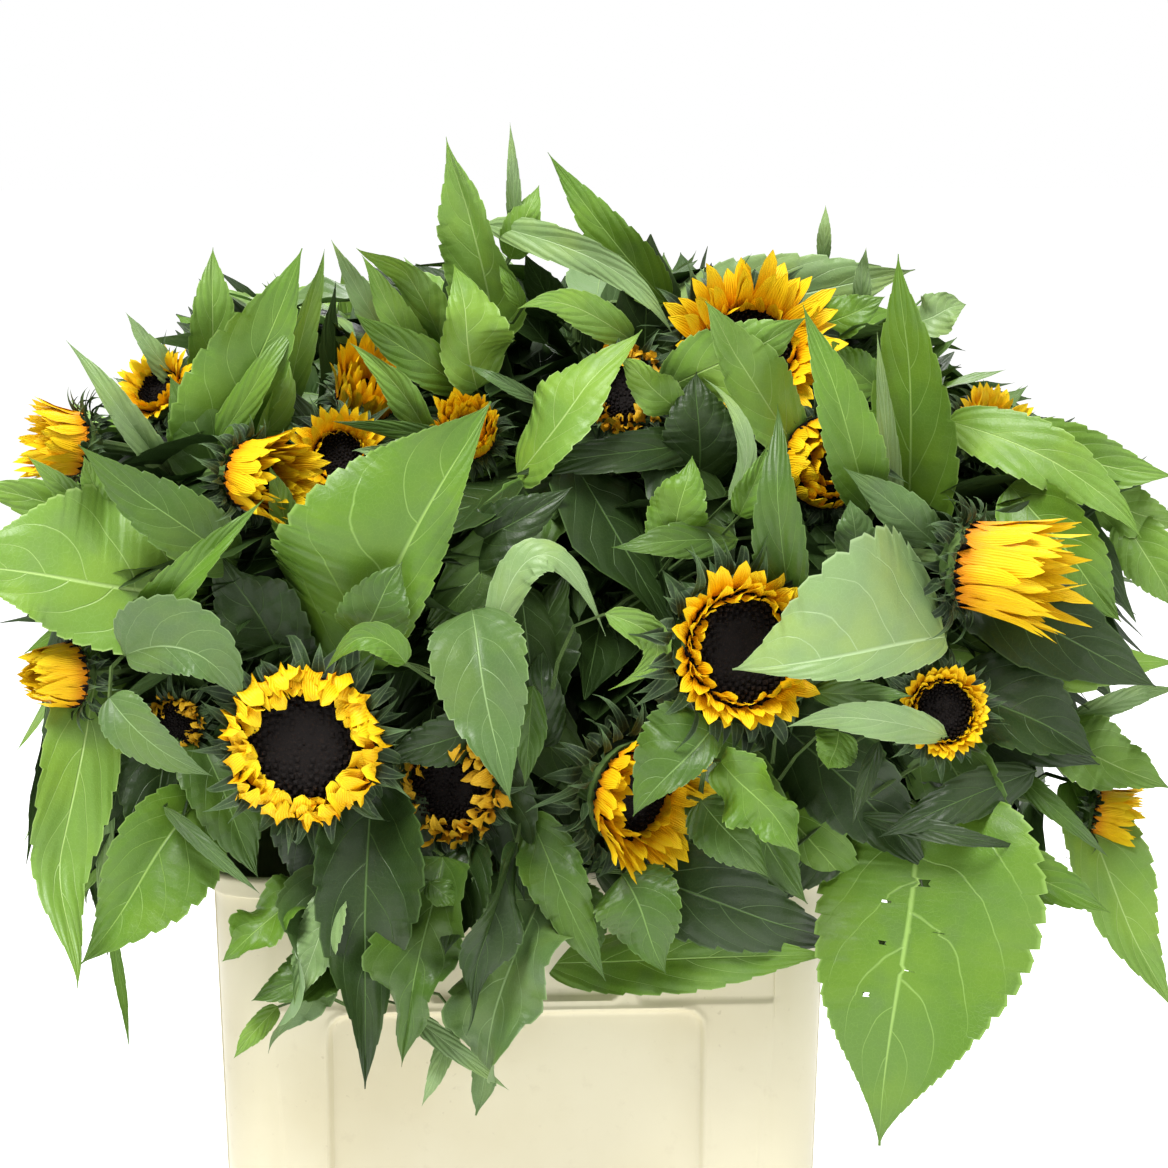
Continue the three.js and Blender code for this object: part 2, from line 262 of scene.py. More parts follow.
@lru_cache(maxsize=None)
def grid_quads(rows: int, columns: int, closed: bool = False) -> tuple[Array, Array]:
    """The quads of a grid and the UV of their corners.

    Args:
        rows: how many points along.
        columns: how many points across.
        closed: whether the last column joins the first.

    Returns:
        The quads, and their UVs with U across and V along, both from 0 to 1.
    """
    across = columns if closed else columns - 1
    row, column = np.meshgrid(np.arange(rows - 1), np.arange(across), indexing="ij")
    row, column = row.ravel(), column.ravel()
    following = (column + 1) % columns
    near, far = row * columns, (row + 1) * columns
    quads = np.stack([near + column, near + following, far + following, far + column], 1)
    u = np.stack([column, column + 1, column + 1, column], 1) / across
    v = np.stack([row, row, row + 1, row + 1], 1) / (rows - 1)
    return quads, np.stack([u, v], 2)


@lru_cache(maxsize=None)
def blade_quads(rows: int, columns: int) -> tuple[Array, Array, Array]:
    """The closed skin of a blade: an upper and a lower grid that share their border.

    The lower faces start from the same corner as the upper ones, so both fold on one diagonal.

    Args:
        rows: how many points along.
        columns: how many points across.

    Returns:
        The quads, their UVs (U runs 0 to 1 over the upper side and 1 to 2 under the lower), and
        which points of a grid are inside its border.
    """
    upper, uv_upper = grid_quads(rows, columns)
    index = np.arange(rows * columns).reshape(rows, columns)
    inside = np.zeros((rows, columns), bool)
    inside[1:-1, 1:-1] = True
    lower_index = index.copy()
    lower_index[inside] = rows * columns + np.arange(inside.sum())
    around = [0, 3, 2, 1]
    lower = lower_index.ravel()[upper][:, around]
    uv_lower = uv_upper[:, around].copy()
    uv_lower[:, :, 0] = 1.0 + uv_lower[:, :, 0]
    return np.concatenate([upper, lower]), np.concatenate([uv_upper, uv_lower]), inside


# ---- Blades: leaves, petals and bracts --------------------------------------------------------


@dataclass(frozen=True)
class Outline:
    """The outline of a kind of blade: its half width along the midrib, and its teeth.

    The half width at t from base to tip is (t/p)^a ((1-t)/(1-p))^b of the greatest, with p where
    it is greatest, and each tooth swells towards the tip and then drops back.
    """

    base_power: float
    tip_power: float
    teeth: int = 0
    tooth_depth: float = 0.0
    plain_rows: int = 6
    columns: int = 3
    lobe: float = 0.0
    sweep: float = 0.0
    narrowest: float = 0.03

    def stations(self) -> Array:
        """The places of the rows: three to a tooth, or evenly spread with no teeth.

        Returns:
            The places, from 0 at the base to 1 at the tip.
        """
        if not self.teeth:
            return np.linspace(0.0, 1.0, self.plain_rows)
        starts = np.arange(self.teeth)[:, None] / self.teeth
        steps = np.array([0.0, 0.5, 0.9])[None] / self.teeth
        return np.append((starts + steps).ravel(), 1.0)

    def notches(self, t: Array) -> Array:
        """What the teeth leave of the half width: one at a tooth's point, and less in a notch.

        Args:
            t: places from base to tip.

        Returns:
            A share for each place.
        """
        if not self.teeth:
            return np.ones_like(t)
        saw = (t * self.teeth) % 1.0
        uneven = 0.75 + 0.5 * np.sin(9.3 * np.floor(t * self.teeth))
        fade = smooth(t, 0.04, 0.16) * (1.0 - 0.5 * smooth(t, 0.8, 0.98))
        return 1.0 - self.tooth_depth * uneven * (1.0 - saw) * fade

    def half_widths(self, t: Array) -> Array:
        """The outline's half widths.

        Args:
            t: places from base to tip.

        Returns:
            A share of the greatest half width for each place.
        """
        a, b = self.base_power, self.tip_power
        p = a / (a + b)
        plain = (np.maximum(t, 1e-6) / p) ** a * (np.maximum(1.0 - t, 1e-6) / (1.0 - p)) ** b
        return np.maximum(plain * self.notches(t), self.narrowest)


LEAF_POWERS = (0.60, 1.38)
LEAF_SHAPE = {"lobe": 0.22, "sweep": 0.10, "narrowest": 0.012}
GREAT_LEAF = Outline(*LEAF_POWERS, teeth=34, tooth_depth=0.060, columns=13, **LEAF_SHAPE)
BIG_LEAF = Outline(*LEAF_POWERS, teeth=20, tooth_depth=0.085, columns=11, **LEAF_SHAPE)
NARROW_LEAF = Outline(*LEAF_POWERS, teeth=11, tooth_depth=0.09, columns=7, **LEAF_SHAPE)
SMALL_POWERS = (0.60, 1.30)
SMALL_SHAPE = {"columns": 5, "lobe": 0.18, "sweep": 0.10, "narrowest": 0.015}
SMALL_LEAF = Outline(*SMALL_POWERS, teeth=5, tooth_depth=0.11, **SMALL_SHAPE)
HIDDEN_LEAF = Outline(*SMALL_POWERS, plain_rows=8, **SMALL_SHAPE)
PETAL = Outline(0.36, 0.52, plain_rows=7, columns=5, narrowest=0.05)
BLUNT_PETAL = Outline(0.32, 0.36, plain_rows=7, columns=5, narrowest=0.14)
BRACT = Outline(0.30, 1.55, plain_rows=8, columns=3, narrowest=0.035)


@dataclass(frozen=True)
class Carriage:
    """How a blade is carried: angles in degrees, and the rest as shares of length or half width."""

    fold: float = 14.0
    cup: float = 0.12
    ruffle: float = 0.08
    waves: float = 2.5
    phase: float = 0.0
    twist: float = 0.0
    skew: float = 0.0
    curl: float = 0.0
    thickness: float = 0.5


def blade_points(
    spine: Array, face: Array, t: Array, width: float, outline: Outline, held: Carriage
) -> tuple[Array, Array]:
    """The upper and lower points of a blade that is carried along a spine.

    At each row the blade spreads sideways by its half width, rises by the fold to both sides,
    falls by the cup with the square of the distance, waves by the ruffle towards its edge, and
    turns up or down by the curl over the outer part of each half.

    Args:
        spine: points of the midrib, (rows, 3), in metres.
        face: what the upper side faces, (3,) or (rows, 3).
        t: each row's place from base to tip.
        width: the greatest width, in metres.
        outline: the blade's outline.
        held: how it is carried.

    Returns:
        Upper and lower grids of points, (rows, columns, 3), that meet at their border.
    """
    tangent = unit(np.gradient(spine, axis=0))
    side = unit(np.cross(tangent, face))
    side = turned(side, tangent, np.radians(held.twist) * t)
    normal = np.cross(side, tangent)
    s = np.linspace(-1.0, 1.0, outline.columns)
    half = outline.half_widths(t)[:, None] * (0.5 * width)
    spread = half * np.where(s < 0.0, 1.0 + held.skew, 1.0 - held.skew)
    far = np.abs(s)
    fold = math.radians(held.fold)
    wave = np.sin(2.0 * math.pi * (held.waves * t[:, None] + 0.13 * np.sign(s)) + held.phase)
    lateral = spread * s * math.cos(fold)
    slow = np.sin(2.0 * math.pi * 0.37 * held.waves * t[:, None] + 1.7 * held.phase + 2.0 * s)
    ripple = held.ruffle * (wave * far**1.7 + 0.8 * slow * far)
    rise = spread * (far * math.sin(fold) - held.cup * s**2 + ripple)
    rise = rise + half * held.curl * np.maximum(far - 0.55, 0.0) ** 2 * (1.0 + 0.5 * wave)
    behind = half * far**1.6 * (-outline.lobe * (1.0 - t[:, None]) ** 4 + outline.sweep * t[:, None])
    middle = (
        spine[:, None]
        + side[:, None] * lateral[..., None]
        + normal[:, None] * rise[..., None]
        + tangent[:, None] * behind[..., None]
    )
    ends = np.minimum(1.0, 12.0 * np.minimum(t, 1.0 - t))[:, None]
    lift = 0.5 * held.thickness * MM * (1.0 - s**2) * ends
    offset = normal[:, None] * lift[..., None]
    return middle + offset, middle - offset


def add_blade(
    batch: Batch,
    spine: Array,
    face: Array,
    t: Array,
    width: float,
    outline: Outline,
    held: Carriage,
    slot: int,
    holes: Sequence[tuple[int, int]] = (),
) -> Array:
    """Adds a blade to a batch.

    A hole leaves out a face of both skins, whose corners draw in and close up to mid thickness.

    Args:
        batch: the surfaces that it joins.
        spine, face, t, width, outline, held: as for blade_points.
        slot: its material slot.
        holes: the row and column of each face that is eaten through.

    Returns:
        Its upper points, (n, 3).
    """
    upper, lower = blade_points(spine, face, t, width, outline, held)
    quads, uvs, inside = blade_quads(len(t), outline.columns)
    kept = np.ones(len(quads), bool)
    for row, column in holes:
        rim = np.s_[row : row + 2, column : column + 2]
        between = (upper[rim] + lower[rim]) / 2.0
        upper[rim] = lower[rim] = 0.6 * between + 0.4 * between.mean((0, 1))
        face_above = row * (outline.columns - 1) + column
        kept[[face_above, len(quads) // 2 + face_above]] = False
    rows = np.linspace(0.0, 1.0, len(t))
    middle = np.where(uvs[:, :, 0].max(1, keepdims=True) > 1.0, 1.5, 0.5)
    across = uvs[:, :, 0] - middle
    inner = np.abs(across) < 0.499
    across = np.where(inner, across * np.interp(uvs[:, :, 1], rows, outline.notches(t)), across)
    rowwise = np.stack([middle + across, np.interp(uvs[:, :, 1], rows, t)], 2)
    batch.add(np.concatenate([upper.reshape(-1, 3), lower[inside]]), quads[kept], rowwise[kept], slot)
    return upper.reshape(-1, 3)


def add_tube(
    batch: Batch, path: Array, radii: Array, slot: int = 0, sides: int = 8, ribs: float = 0.0
) -> None:
    """Adds a tube: a ring of points at each place of a path, closed by a small ring at each end.

    The first ring's starting direction is carried along the path, square to it, with no twist.

    Args:
        batch: the surfaces that it joins.
        path: its middle line, (n, 3), in metres.
        radii: its radius at each place, in metres.
        slot: its material slot.
        sides: how many points a ring has.
        ribs: how far every other point stands out, as a share of the radius.
    """
    tangent = unit(np.gradient(path, axis=0))
    steep = abs(tangent[0] @ UP) > 0.9
    first = np.empty_like(path)
    first[0] = unit(np.cross(tangent[0], np.array([1.0, 0.0, 0.0]) if steep else UP))
    for i in range(1, len(path)):
        carried = first[i - 1] - tangent[i] * (first[i - 1] @ tangent[i])
        first[i] = unit(carried)
    second = np.cross(tangent, first)
    angle = np.linspace(0.0, 2.0 * math.pi, sides, endpoint=False)
    uneven = 1.0 + ribs * np.cos(angle * sides / 2.0)
    ring = np.cos(angle)[None, :, None] * first[:, None] + np.sin(angle)[None, :, None] * second[:, None]
    points = path[:, None] + ring * (radii[:, None] * uneven)[..., None]
    tip = 0.02
    start_cap = path[0] + ring[:1] * radii[0] * tip
    end_cap = path[-1] + ring[-1:] * radii[-1] * tip
    grid = np.concatenate([start_cap, points, end_cap])
    quads, uvs = grid_quads(len(grid), sides, closed=True)
    batch.add(grid.reshape(-1, 3), quads, uvs, slot)


# ---- Shader maths -----------------------------------------------------------------------------


class Value:
    """A number that flows through a shader: expressions on it add Math nodes."""

    def __init__(self, shader: "Shader", socket: bpy.types.NodeSocket) -> None:
        """Wraps an output socket of a shader's node."""
        self.shader = shader
        self.socket = socket

    def _math(self, operation: str, first: object, second: object = None) -> "Value":
        """A Math node on one or two values."""
        inputs = {0: first} if second is None else {0: first, 1: second}
        return self.shader.value("ShaderNodeMath", {"operation": operation}, inputs)

    def __add__(self, other: object) -> "Value":
        """self + other."""
        return self._math("ADD", self, other)

    def __sub__(self, other: object) -> "Value":
        """self - other."""
        return self._math("SUBTRACT", self, other)

    def __rsub__(self, other: object) -> "Value":
        """other - self."""
        return self._math("SUBTRACT", other, self)

    def __mul__(self, other: object) -> "Value":
        """self * other."""
        return self._math("MULTIPLY", self, other)

    __radd__ = __add__
    __rmul__ = __mul__

    def above(self, limit: float) -> "Value":
        """One where the value is above the limit, and zero elsewhere."""
        return self._math("GREATER_THAN", self, limit)

    def size(self) -> "Value":
        """The absolute value."""
        return self._math("ABSOLUTE", self)

    def fraction(self) -> "Value":
        """The part after the decimal point."""
        return self._math("FRACT", self)

    def sine(self) -> "Value":
        """The sine of the value in radians."""
        return self._math("SINE", self)

    def most(self, other: object) -> "Value":
        """The greater of two values."""
        return self._math("MAXIMUM", self, other)

    def step(self, low: float, high: float, start: float = 0.0, end: float = 1.0) -> "Value":
        """A smooth step.

        Args:
            low, high: where the step starts and ends.
            start, end: the values below low and above high.

        Returns:
            The stepped value.
        """
        return self.shader.value(
            "ShaderNodeMapRange",
            {"interpolation_type": "SMOOTHSTEP"},
            {"Value": self, "From Min": low, "From Max": high, "To Min": start, "To Max": end},
        )


class Shader:
    """A material whose node tree is written as expressions."""

    def __init__(self, name: str, constants: dict[str, object]) -> None:
        """Starts a material.

        Args:
            name: the material's name.
            constants: values set on the Principled shader's own sockets.
        """
        self.material = bpy.data.materials.new(name)
        self.material.use_nodes = True
        self.tree = self.material.node_tree
        self.principled = self.tree.nodes["Principled BSDF"]
        for key, setting in constants.items():
            self.principled.inputs[key].default_value = setting
        self.coordinates = self.node("ShaderNodeTexCoord", {}, {})

    def node(self, kind: str, settings: dict[str, object], inputs: dict[object, object]) -> bpy.types.Node:
        """Adds a node.

        Args:
            kind: the node's type.
            settings: its properties, which are set first.
            inputs: values or links of its sockets, by name or index.

        Returns:
            The node.
        """
        made = self.tree.nodes.new(kind)
        for key, setting in settings.items():
            setattr(made, key, setting)
        for key, given in inputs.items():
            socket = made.inputs[key]
            if isinstance(given, Value):
                self.tree.links.new(given.socket, socket)
            elif isinstance(given, bpy.types.NodeSocket):
                self.tree.links.new(given, socket)
            elif socket.type == "RGBA" and len(given) == 3:
                socket.default_value = (*given, 1.0)
            else:
                socket.default_value = given
        return made

    def value(self, kind: str, settings: dict[str, object], inputs: dict[object, object]) -> Value:
        """Adds a node and returns its first output as a value."""
        return Value(self, self.node(kind, settings, inputs).outputs[0])

    def mix(self, factor: object, first: object, second: object) -> bpy.types.NodeSocket:
        """A colour between first, at factor zero, and second, at factor one."""
        made = self.node("ShaderNodeMix", {"data_type": "RGBA"}, {0: factor, 6: first, 7: second})
        return made.outputs[2]

    def uv(self) -> tuple[Value, Value]:
        """The piece's own U and V."""
        split = self.node("ShaderNodeSeparateXYZ", {}, {0: self.coordinates.outputs["UV"]})
        return Value(self, split.outputs[0]), Value(self, split.outputs[1])

    def noise(self, scale: float, detail: float = 2.0, roughness: float = 0.5) -> Value:
        """Soft noise on Object coordinates.

        Args:
            scale: how many swells there are in a metre.
            detail: how many finer layers are laid over them.
            roughness: how strong each finer layer is.

        Returns:
            The noise, about one half on average.
        """
        place = self.coordinates.outputs["Object"]
        inputs = {"Vector": place, "Scale": scale, "Detail": detail, "Roughness": roughness}
        return self.value("ShaderNodeTexNoise", {}, inputs)

    def net(self, scale: float) -> Value:
        """Distance to the walls of irregular cells on Object coordinates."""
        inputs = {"Vector": self.coordinates.outputs["Object"], "Scale": scale}
        return self.value("ShaderNodeTexVoronoi", {"feature": "DISTANCE_TO_EDGE"}, inputs)

    def colour(self, socket: object) -> None:
        """Links the base colour."""
        self.tree.links.new(socket, self.principled.inputs["Base Color"])

    def roughness(self, value: Value) -> None:
        """Links the roughness."""
        self.tree.links.new(value.socket, self.principled.inputs["Roughness"])

    def relief(self, height: Value, strength: float, distance: float) -> None:
        """Links a Bump node that raises the surface by the height, over a distance in metres."""
        bump = self.node("ShaderNodeBump", {}, {"Height": height, "Strength": strength, "Distance": distance})
        self.tree.links.new(bump.outputs[0], self.principled.inputs["Normal"])


# ---- Finishes ---------------------------------------------------------------------------------


class Green(Enum):
    """The greens that leaves are dealt, in the order of the leaf pieces' material slots; each is partly a
    leaf tone and partly painted light and shade, from the dark green of painted shade to the pale and sunlit
    greens of painted glare and painted backlight.
    """

    BRIGHT = "bright"
    MID = "mid"
    # painted shade: the dark green stands in for leaves that lie in shade
    DEEP_SHADE = "deep"
    BLUE = "blue"
    # pale undersides, with painted glare
    PALE_WITH_GLARE = "pale"
    # painted backlight: the green of leaves lit through from behind
    SUN = "sun"


@dataclass(frozen=True)
class LeafFinish:
    """A leaf's two sides and its veins: satin above, duller and paler below."""

    name: str
    top: Colour
    under: Colour
    vein: Colour
    gloss: float = 0.42

    def material(self) -> bpy.types.Material:
        """Builds the material.

        The side is told by U, which passes 1 under the leaf. Veins leave the midrib at even
        places along V and run forward to the edge, and a fine net fills the blade between them.

        Returns:
            The material.
        """
        shader = Shader(self.name, {"Specular IOR Level": 0.36})
        u, v = shader.uv()
        below = u.above(1.0)
        across = (u - below) * 2.0 - 1.0
        far = across.size()
        drift = shader.noise(17.0, 2.0) - 0.5
        midrib = far.step(0.006, 0.034, 1.0, 0.0)
        phase = (v - far * (far * 0.20 + 0.17)) * 6.0 + across.above(0.0) * 0.45 + drift * 0.9
        ridge = (phase.fraction() - 0.5).size()
        lateral = ridge.step(0.468, 0.499) * far.step(0.55, 0.98, 1.0, 0.1) * v.step(0.7, 0.95, 1.0, 0.2)
        threads = shader.net(330.0).step(0.0, 0.07, 1.0, 0.0)
        blotch = shader.noise(24.0, 3.0)
        # Painted light: brighter, yellower patches laid at random by the blotch noise, as of light shining
        # through the leaf.
        painted_glow_through = tuple(c * k for c, k in zip(self.top, (1.22, 1.14, 0.9)))
        # Painted sheen: greyer patches from a finer noise stand in for the soft whitish sheen on the leaf's
        # top.
        painted_grey_sheen = tuple(0.86 * c + 0.14 * sum(self.top) / 3.0 for c in self.top)
        blade = shader.mix(blotch.step(0.42, 0.68), self.top, painted_glow_through)
        blade = shader.mix(shader.noise(41.0, 2.0).step(0.5, 0.75, 0.0, 0.8), blade, painted_grey_sheen)
        blade = shader.mix(below, blade, self.under)
        veins = midrib.most(lateral * 0.62).most(threads * 0.10)
        edge = far.step(0.952, 0.995) * 0.6
        shader.colour(shader.mix(veins.most(edge), blade, self.vein))
        dome = ridge.step(0.0, 0.5, 1.0, 0.0) * far.step(0.0, 0.3)
        dip = midrib * 1.1 + lateral * 0.6
        side = 1.0 - below * 2.0
        height = (dome * 0.8 - dip) * side + threads * 0.1 + shader.noise(600.0, 2.0) * 0.2 + blotch * 1.6
        shader.relief(height, 0.5, 0.0009)
        shader.roughness(blotch * 0.16 + below * 0.14 + (self.gloss - 0.08))
        return shader.material


# The finishes are one leaf green at several levels of painted light and shade, each with a little tone of its
# own.
LEAF_FINISHES = {
    Green.BRIGHT: LeafFinish("leaf_bright", linear(86, 122, 36), linear(108, 140, 66), linear(138, 172, 84)),
    Green.MID: LeafFinish("leaf_mid", linear(66, 96, 32), linear(90, 120, 58), linear(114, 146, 76)),
    Green.DEEP_SHADE: LeafFinish("leaf_deep_painted_shade", linear(38, 58, 22), linear(58, 82, 38), linear(80, 108, 54)),
    Green.BLUE: LeafFinish("leaf_bluish", linear(80, 108, 56), linear(110, 138, 88), linear(132, 160, 102)),
    Green.PALE_WITH_GLARE: LeafFinish("leaf_pale_with_painted_glare", linear(122, 150, 94), linear(138, 166, 112), linear(168, 194, 140)),
    Green.SUN: LeafFinish("leaf_painted_backlight", linear(106, 142, 54), linear(130, 164, 84), linear(160, 190, 108)),
}


@dataclass(frozen=True)
class PetalFinish:
    """Petals: orange at the foot, deep yellow along, and fine ribs from foot to tip."""

    name: str
    foot: Colour
    middle: Colour
    tip: Colour

    def material(self) -> bpy.types.Material:
        """Builds the material: the colour goes by V, the ribs are a sine of U, and painted shade tints their
        grooves towards the foot's orange.

        Returns:
            The material.
        """
        shader = Shader(self.name, {"Specular IOR Level": 0.25})
        u, v = shader.uv()
        lower = shader.mix(v.step(0.0, 0.45), self.foot, self.middle)
        blend = shader.mix(v.step(0.45, 1.0), lower, self.tip)
        ribs = (u * 44.0).sine()
        # Painted shade: the grooves between the ribs are tinted towards the orange of the foot.
        shade = ribs.step(-1.0, 0.2, 0.2, 0.0)
        shader.colour(shader.mix(shade, blend, self.foot))
        shader.relief(ribs * 0.5 + shader.noise(500.0) * 0.4, 0.5, 0.0006)
        shader.roughness(shader.noise(120.0) * 0.2 + 0.42)
        return shader.material


FRESH_PETAL = PetalFinish("petal_fresh", linear(220, 130, 4), linear(240, 190, 8), linear(248, 214, 22))
AGED_PETAL = PetalFinish("petal_aged", linear(168, 104, 14), linear(212, 160, 22), linear(226, 182, 40))


def bract_material() -> bpy.types.Material:
    """Bracts: dark green, with a pale hairy margin and a paler midrib.

    Returns:
        The material.
    """
    shader = Shader("bract_green", {"Specular IOR Level": 0.3})
    u, v = shader.uv()
    below = u.above(1.0)
    far = ((u - below) * 2.0 - 1.0).size()
    margin = far.step(0.7, 1.0) * 0.34
    body = shader.mix(shader.noise(60.0, 3.0).step(0.35, 0.7), linear(28, 44, 22), linear(52, 74, 38))
    tip = shader.mix(v.step(0.45, 0.95), body, linear(80, 106, 62))
    shader.colour(shader.mix(margin.most(far.step(0.0, 0.14, 0.25, 0.0)), tip, linear(136, 158, 112)))
    shader.relief(shader.noise(900.0, 3.0) + far * 0.6, 0.7, 0.0008)
    shader.roughness(shader.noise(90.0) * 0.2 + 0.5)
    return shader.material


def stem_material() -> bpy.types.Material:
    """Stems and leaf stalks: rough-haired green, ribbed along their length.

    Returns:
        The material.
    """
    shader = Shader("stem_green", {"Specular IOR Level": 0.3})
    u, _ = shader.uv()
    ribs = (u * 50.0).sine()
    tone = shader.mix(shader.noise(45.0, 4.0).step(0.3, 0.7), linear(62, 86, 38), linear(90, 116, 56))
    shader.colour(shader.mix(ribs.step(0.3, 1.0, 0.0, 0.3), tone, linear(112, 136, 78)))
    shader.relief(ribs * 0.4 + shader.noise(1100.0, 3.0), 0.8, 0.0007)
    shader.roughness(shader.noise(150.0) * 0.2 + 0.5)
    return shader.material


def disc_material(name: str, dark: Colour, light: Colour) -> bpy.types.Material:
    """Disc florets: velvety and nearly black, with grains of a lighter brown.

    Args:
        name: the material's name.
        dark, light: the colours of the florets and of their grains.

    Returns:
        The material.
    """
    shader = Shader(name, {"Specular IOR Level": 0.15})
    grain = shader.noise(900.0, 3.0)
    shader.colour(shader.mix(grain.step(0.5, 0.75), dark, light))
    shader.relief(grain, 0.6, 0.0008)
    shader.roughness(grain * 0.1 + 0.72)
    return shader.material


def plastic_material() -> bpy.types.Material:
    """The bucket: cream plastic with a satin skin, faint clouding, scuffs and specks of dirt.

    Returns:
        The material.
    """
    shader = Shader("bucket_cream", {"Specular IOR Level": 0.45, "Subsurface Weight": 0.0})
    cloud = shader.noise(7.0, 4.0)
    cream = shader.mix(cloud.step(0.35, 0.7), linear(207, 200, 172), linear(199, 190, 158))
    height = shader.node("ShaderNodeSeparateXYZ", {}, {0: shader.coordinates.outputs["Object"]}).outputs[2]
    low = Value(shader, height).step(0.0, 0.16, 0.22, 0.0)
    dirt = shader.noise(60.0, 6.0, 0.7)
    specks = shader.noise(230.0, 2.0).step(0.70, 0.76) * 0.5
    worn = (dirt.step(0.56, 0.74) * (low + 0.12)).most(specks * (cloud.step(0.4, 0.6) * 0.6))
    shader.colour(shader.mix(worn, cream, linear(150, 134, 104)))
    shader.relief(shader.noise(420.0, 3.0) * 0.3 + cloud * 0.6, 0.12, 0.001)
    shader.roughness(dirt * 0.18 + 0.3)
    return shader.material


def floor_material() -> bpy.types.Material:
    """The studio floor: matt, nearly white, and lit a little from below.

    Returns:
        The material.
    """
    white = (1.0, 1.0, 1.0, 1.0)
    glow = {"Emission Color": white, "Emission Strength": 0.62}
    shader = Shader("studio_floor", {"Roughness": 0.9, "Specular IOR Level": 0.1, **glow})
    shade = shader.noise(1.5)
    shader.colour(shader.mix(shade, linear(249, 249, 249), linear(252, 252, 252)))
    return shader.material


# ---- Bucket -----------------------------------------------------------------------------------


@dataclass(frozen=True)
class Recess:
    """A rounded rectangle pressed into a wall, in millimetres across and up, with a raised bead."""

    left: float
    right: float
    bottom: float
    top: float
    corner: float
    deep: float
    bead: float = 0.0
    slope: float = 2.2

    def relief(self, across: Array, up: Array) -> Array:
        """How far the wall is pressed in: a smooth step at the signed distance to the outline.

        Args:
            across, up: places on the wall, in millimetres.

        Returns:
            The depth at each place, in millimetres, less than zero on the bead.
        """
        middle_x, middle_z = (self.left + self.right) / 2.0, (self.bottom + self.top) / 2.0
        out_x = np.abs(across - middle_x) - (self.right - self.left) / 2.0 + self.corner
        out_z = np.abs(up - middle_z) - (self.top - self.bottom) / 2.0 + self.corner
        outside = np.hypot(np.maximum(out_x, 0.0), np.maximum(out_z, 0.0))
        distance = outside + np.minimum(np.maximum(out_x, out_z), 0.0) - self.corner
        pressed = self.deep * smooth(-distance, -self.slope, self.slope)
        return pressed - self.bead * np.exp(-(((distance - 2.6) / 1.9) ** 2))


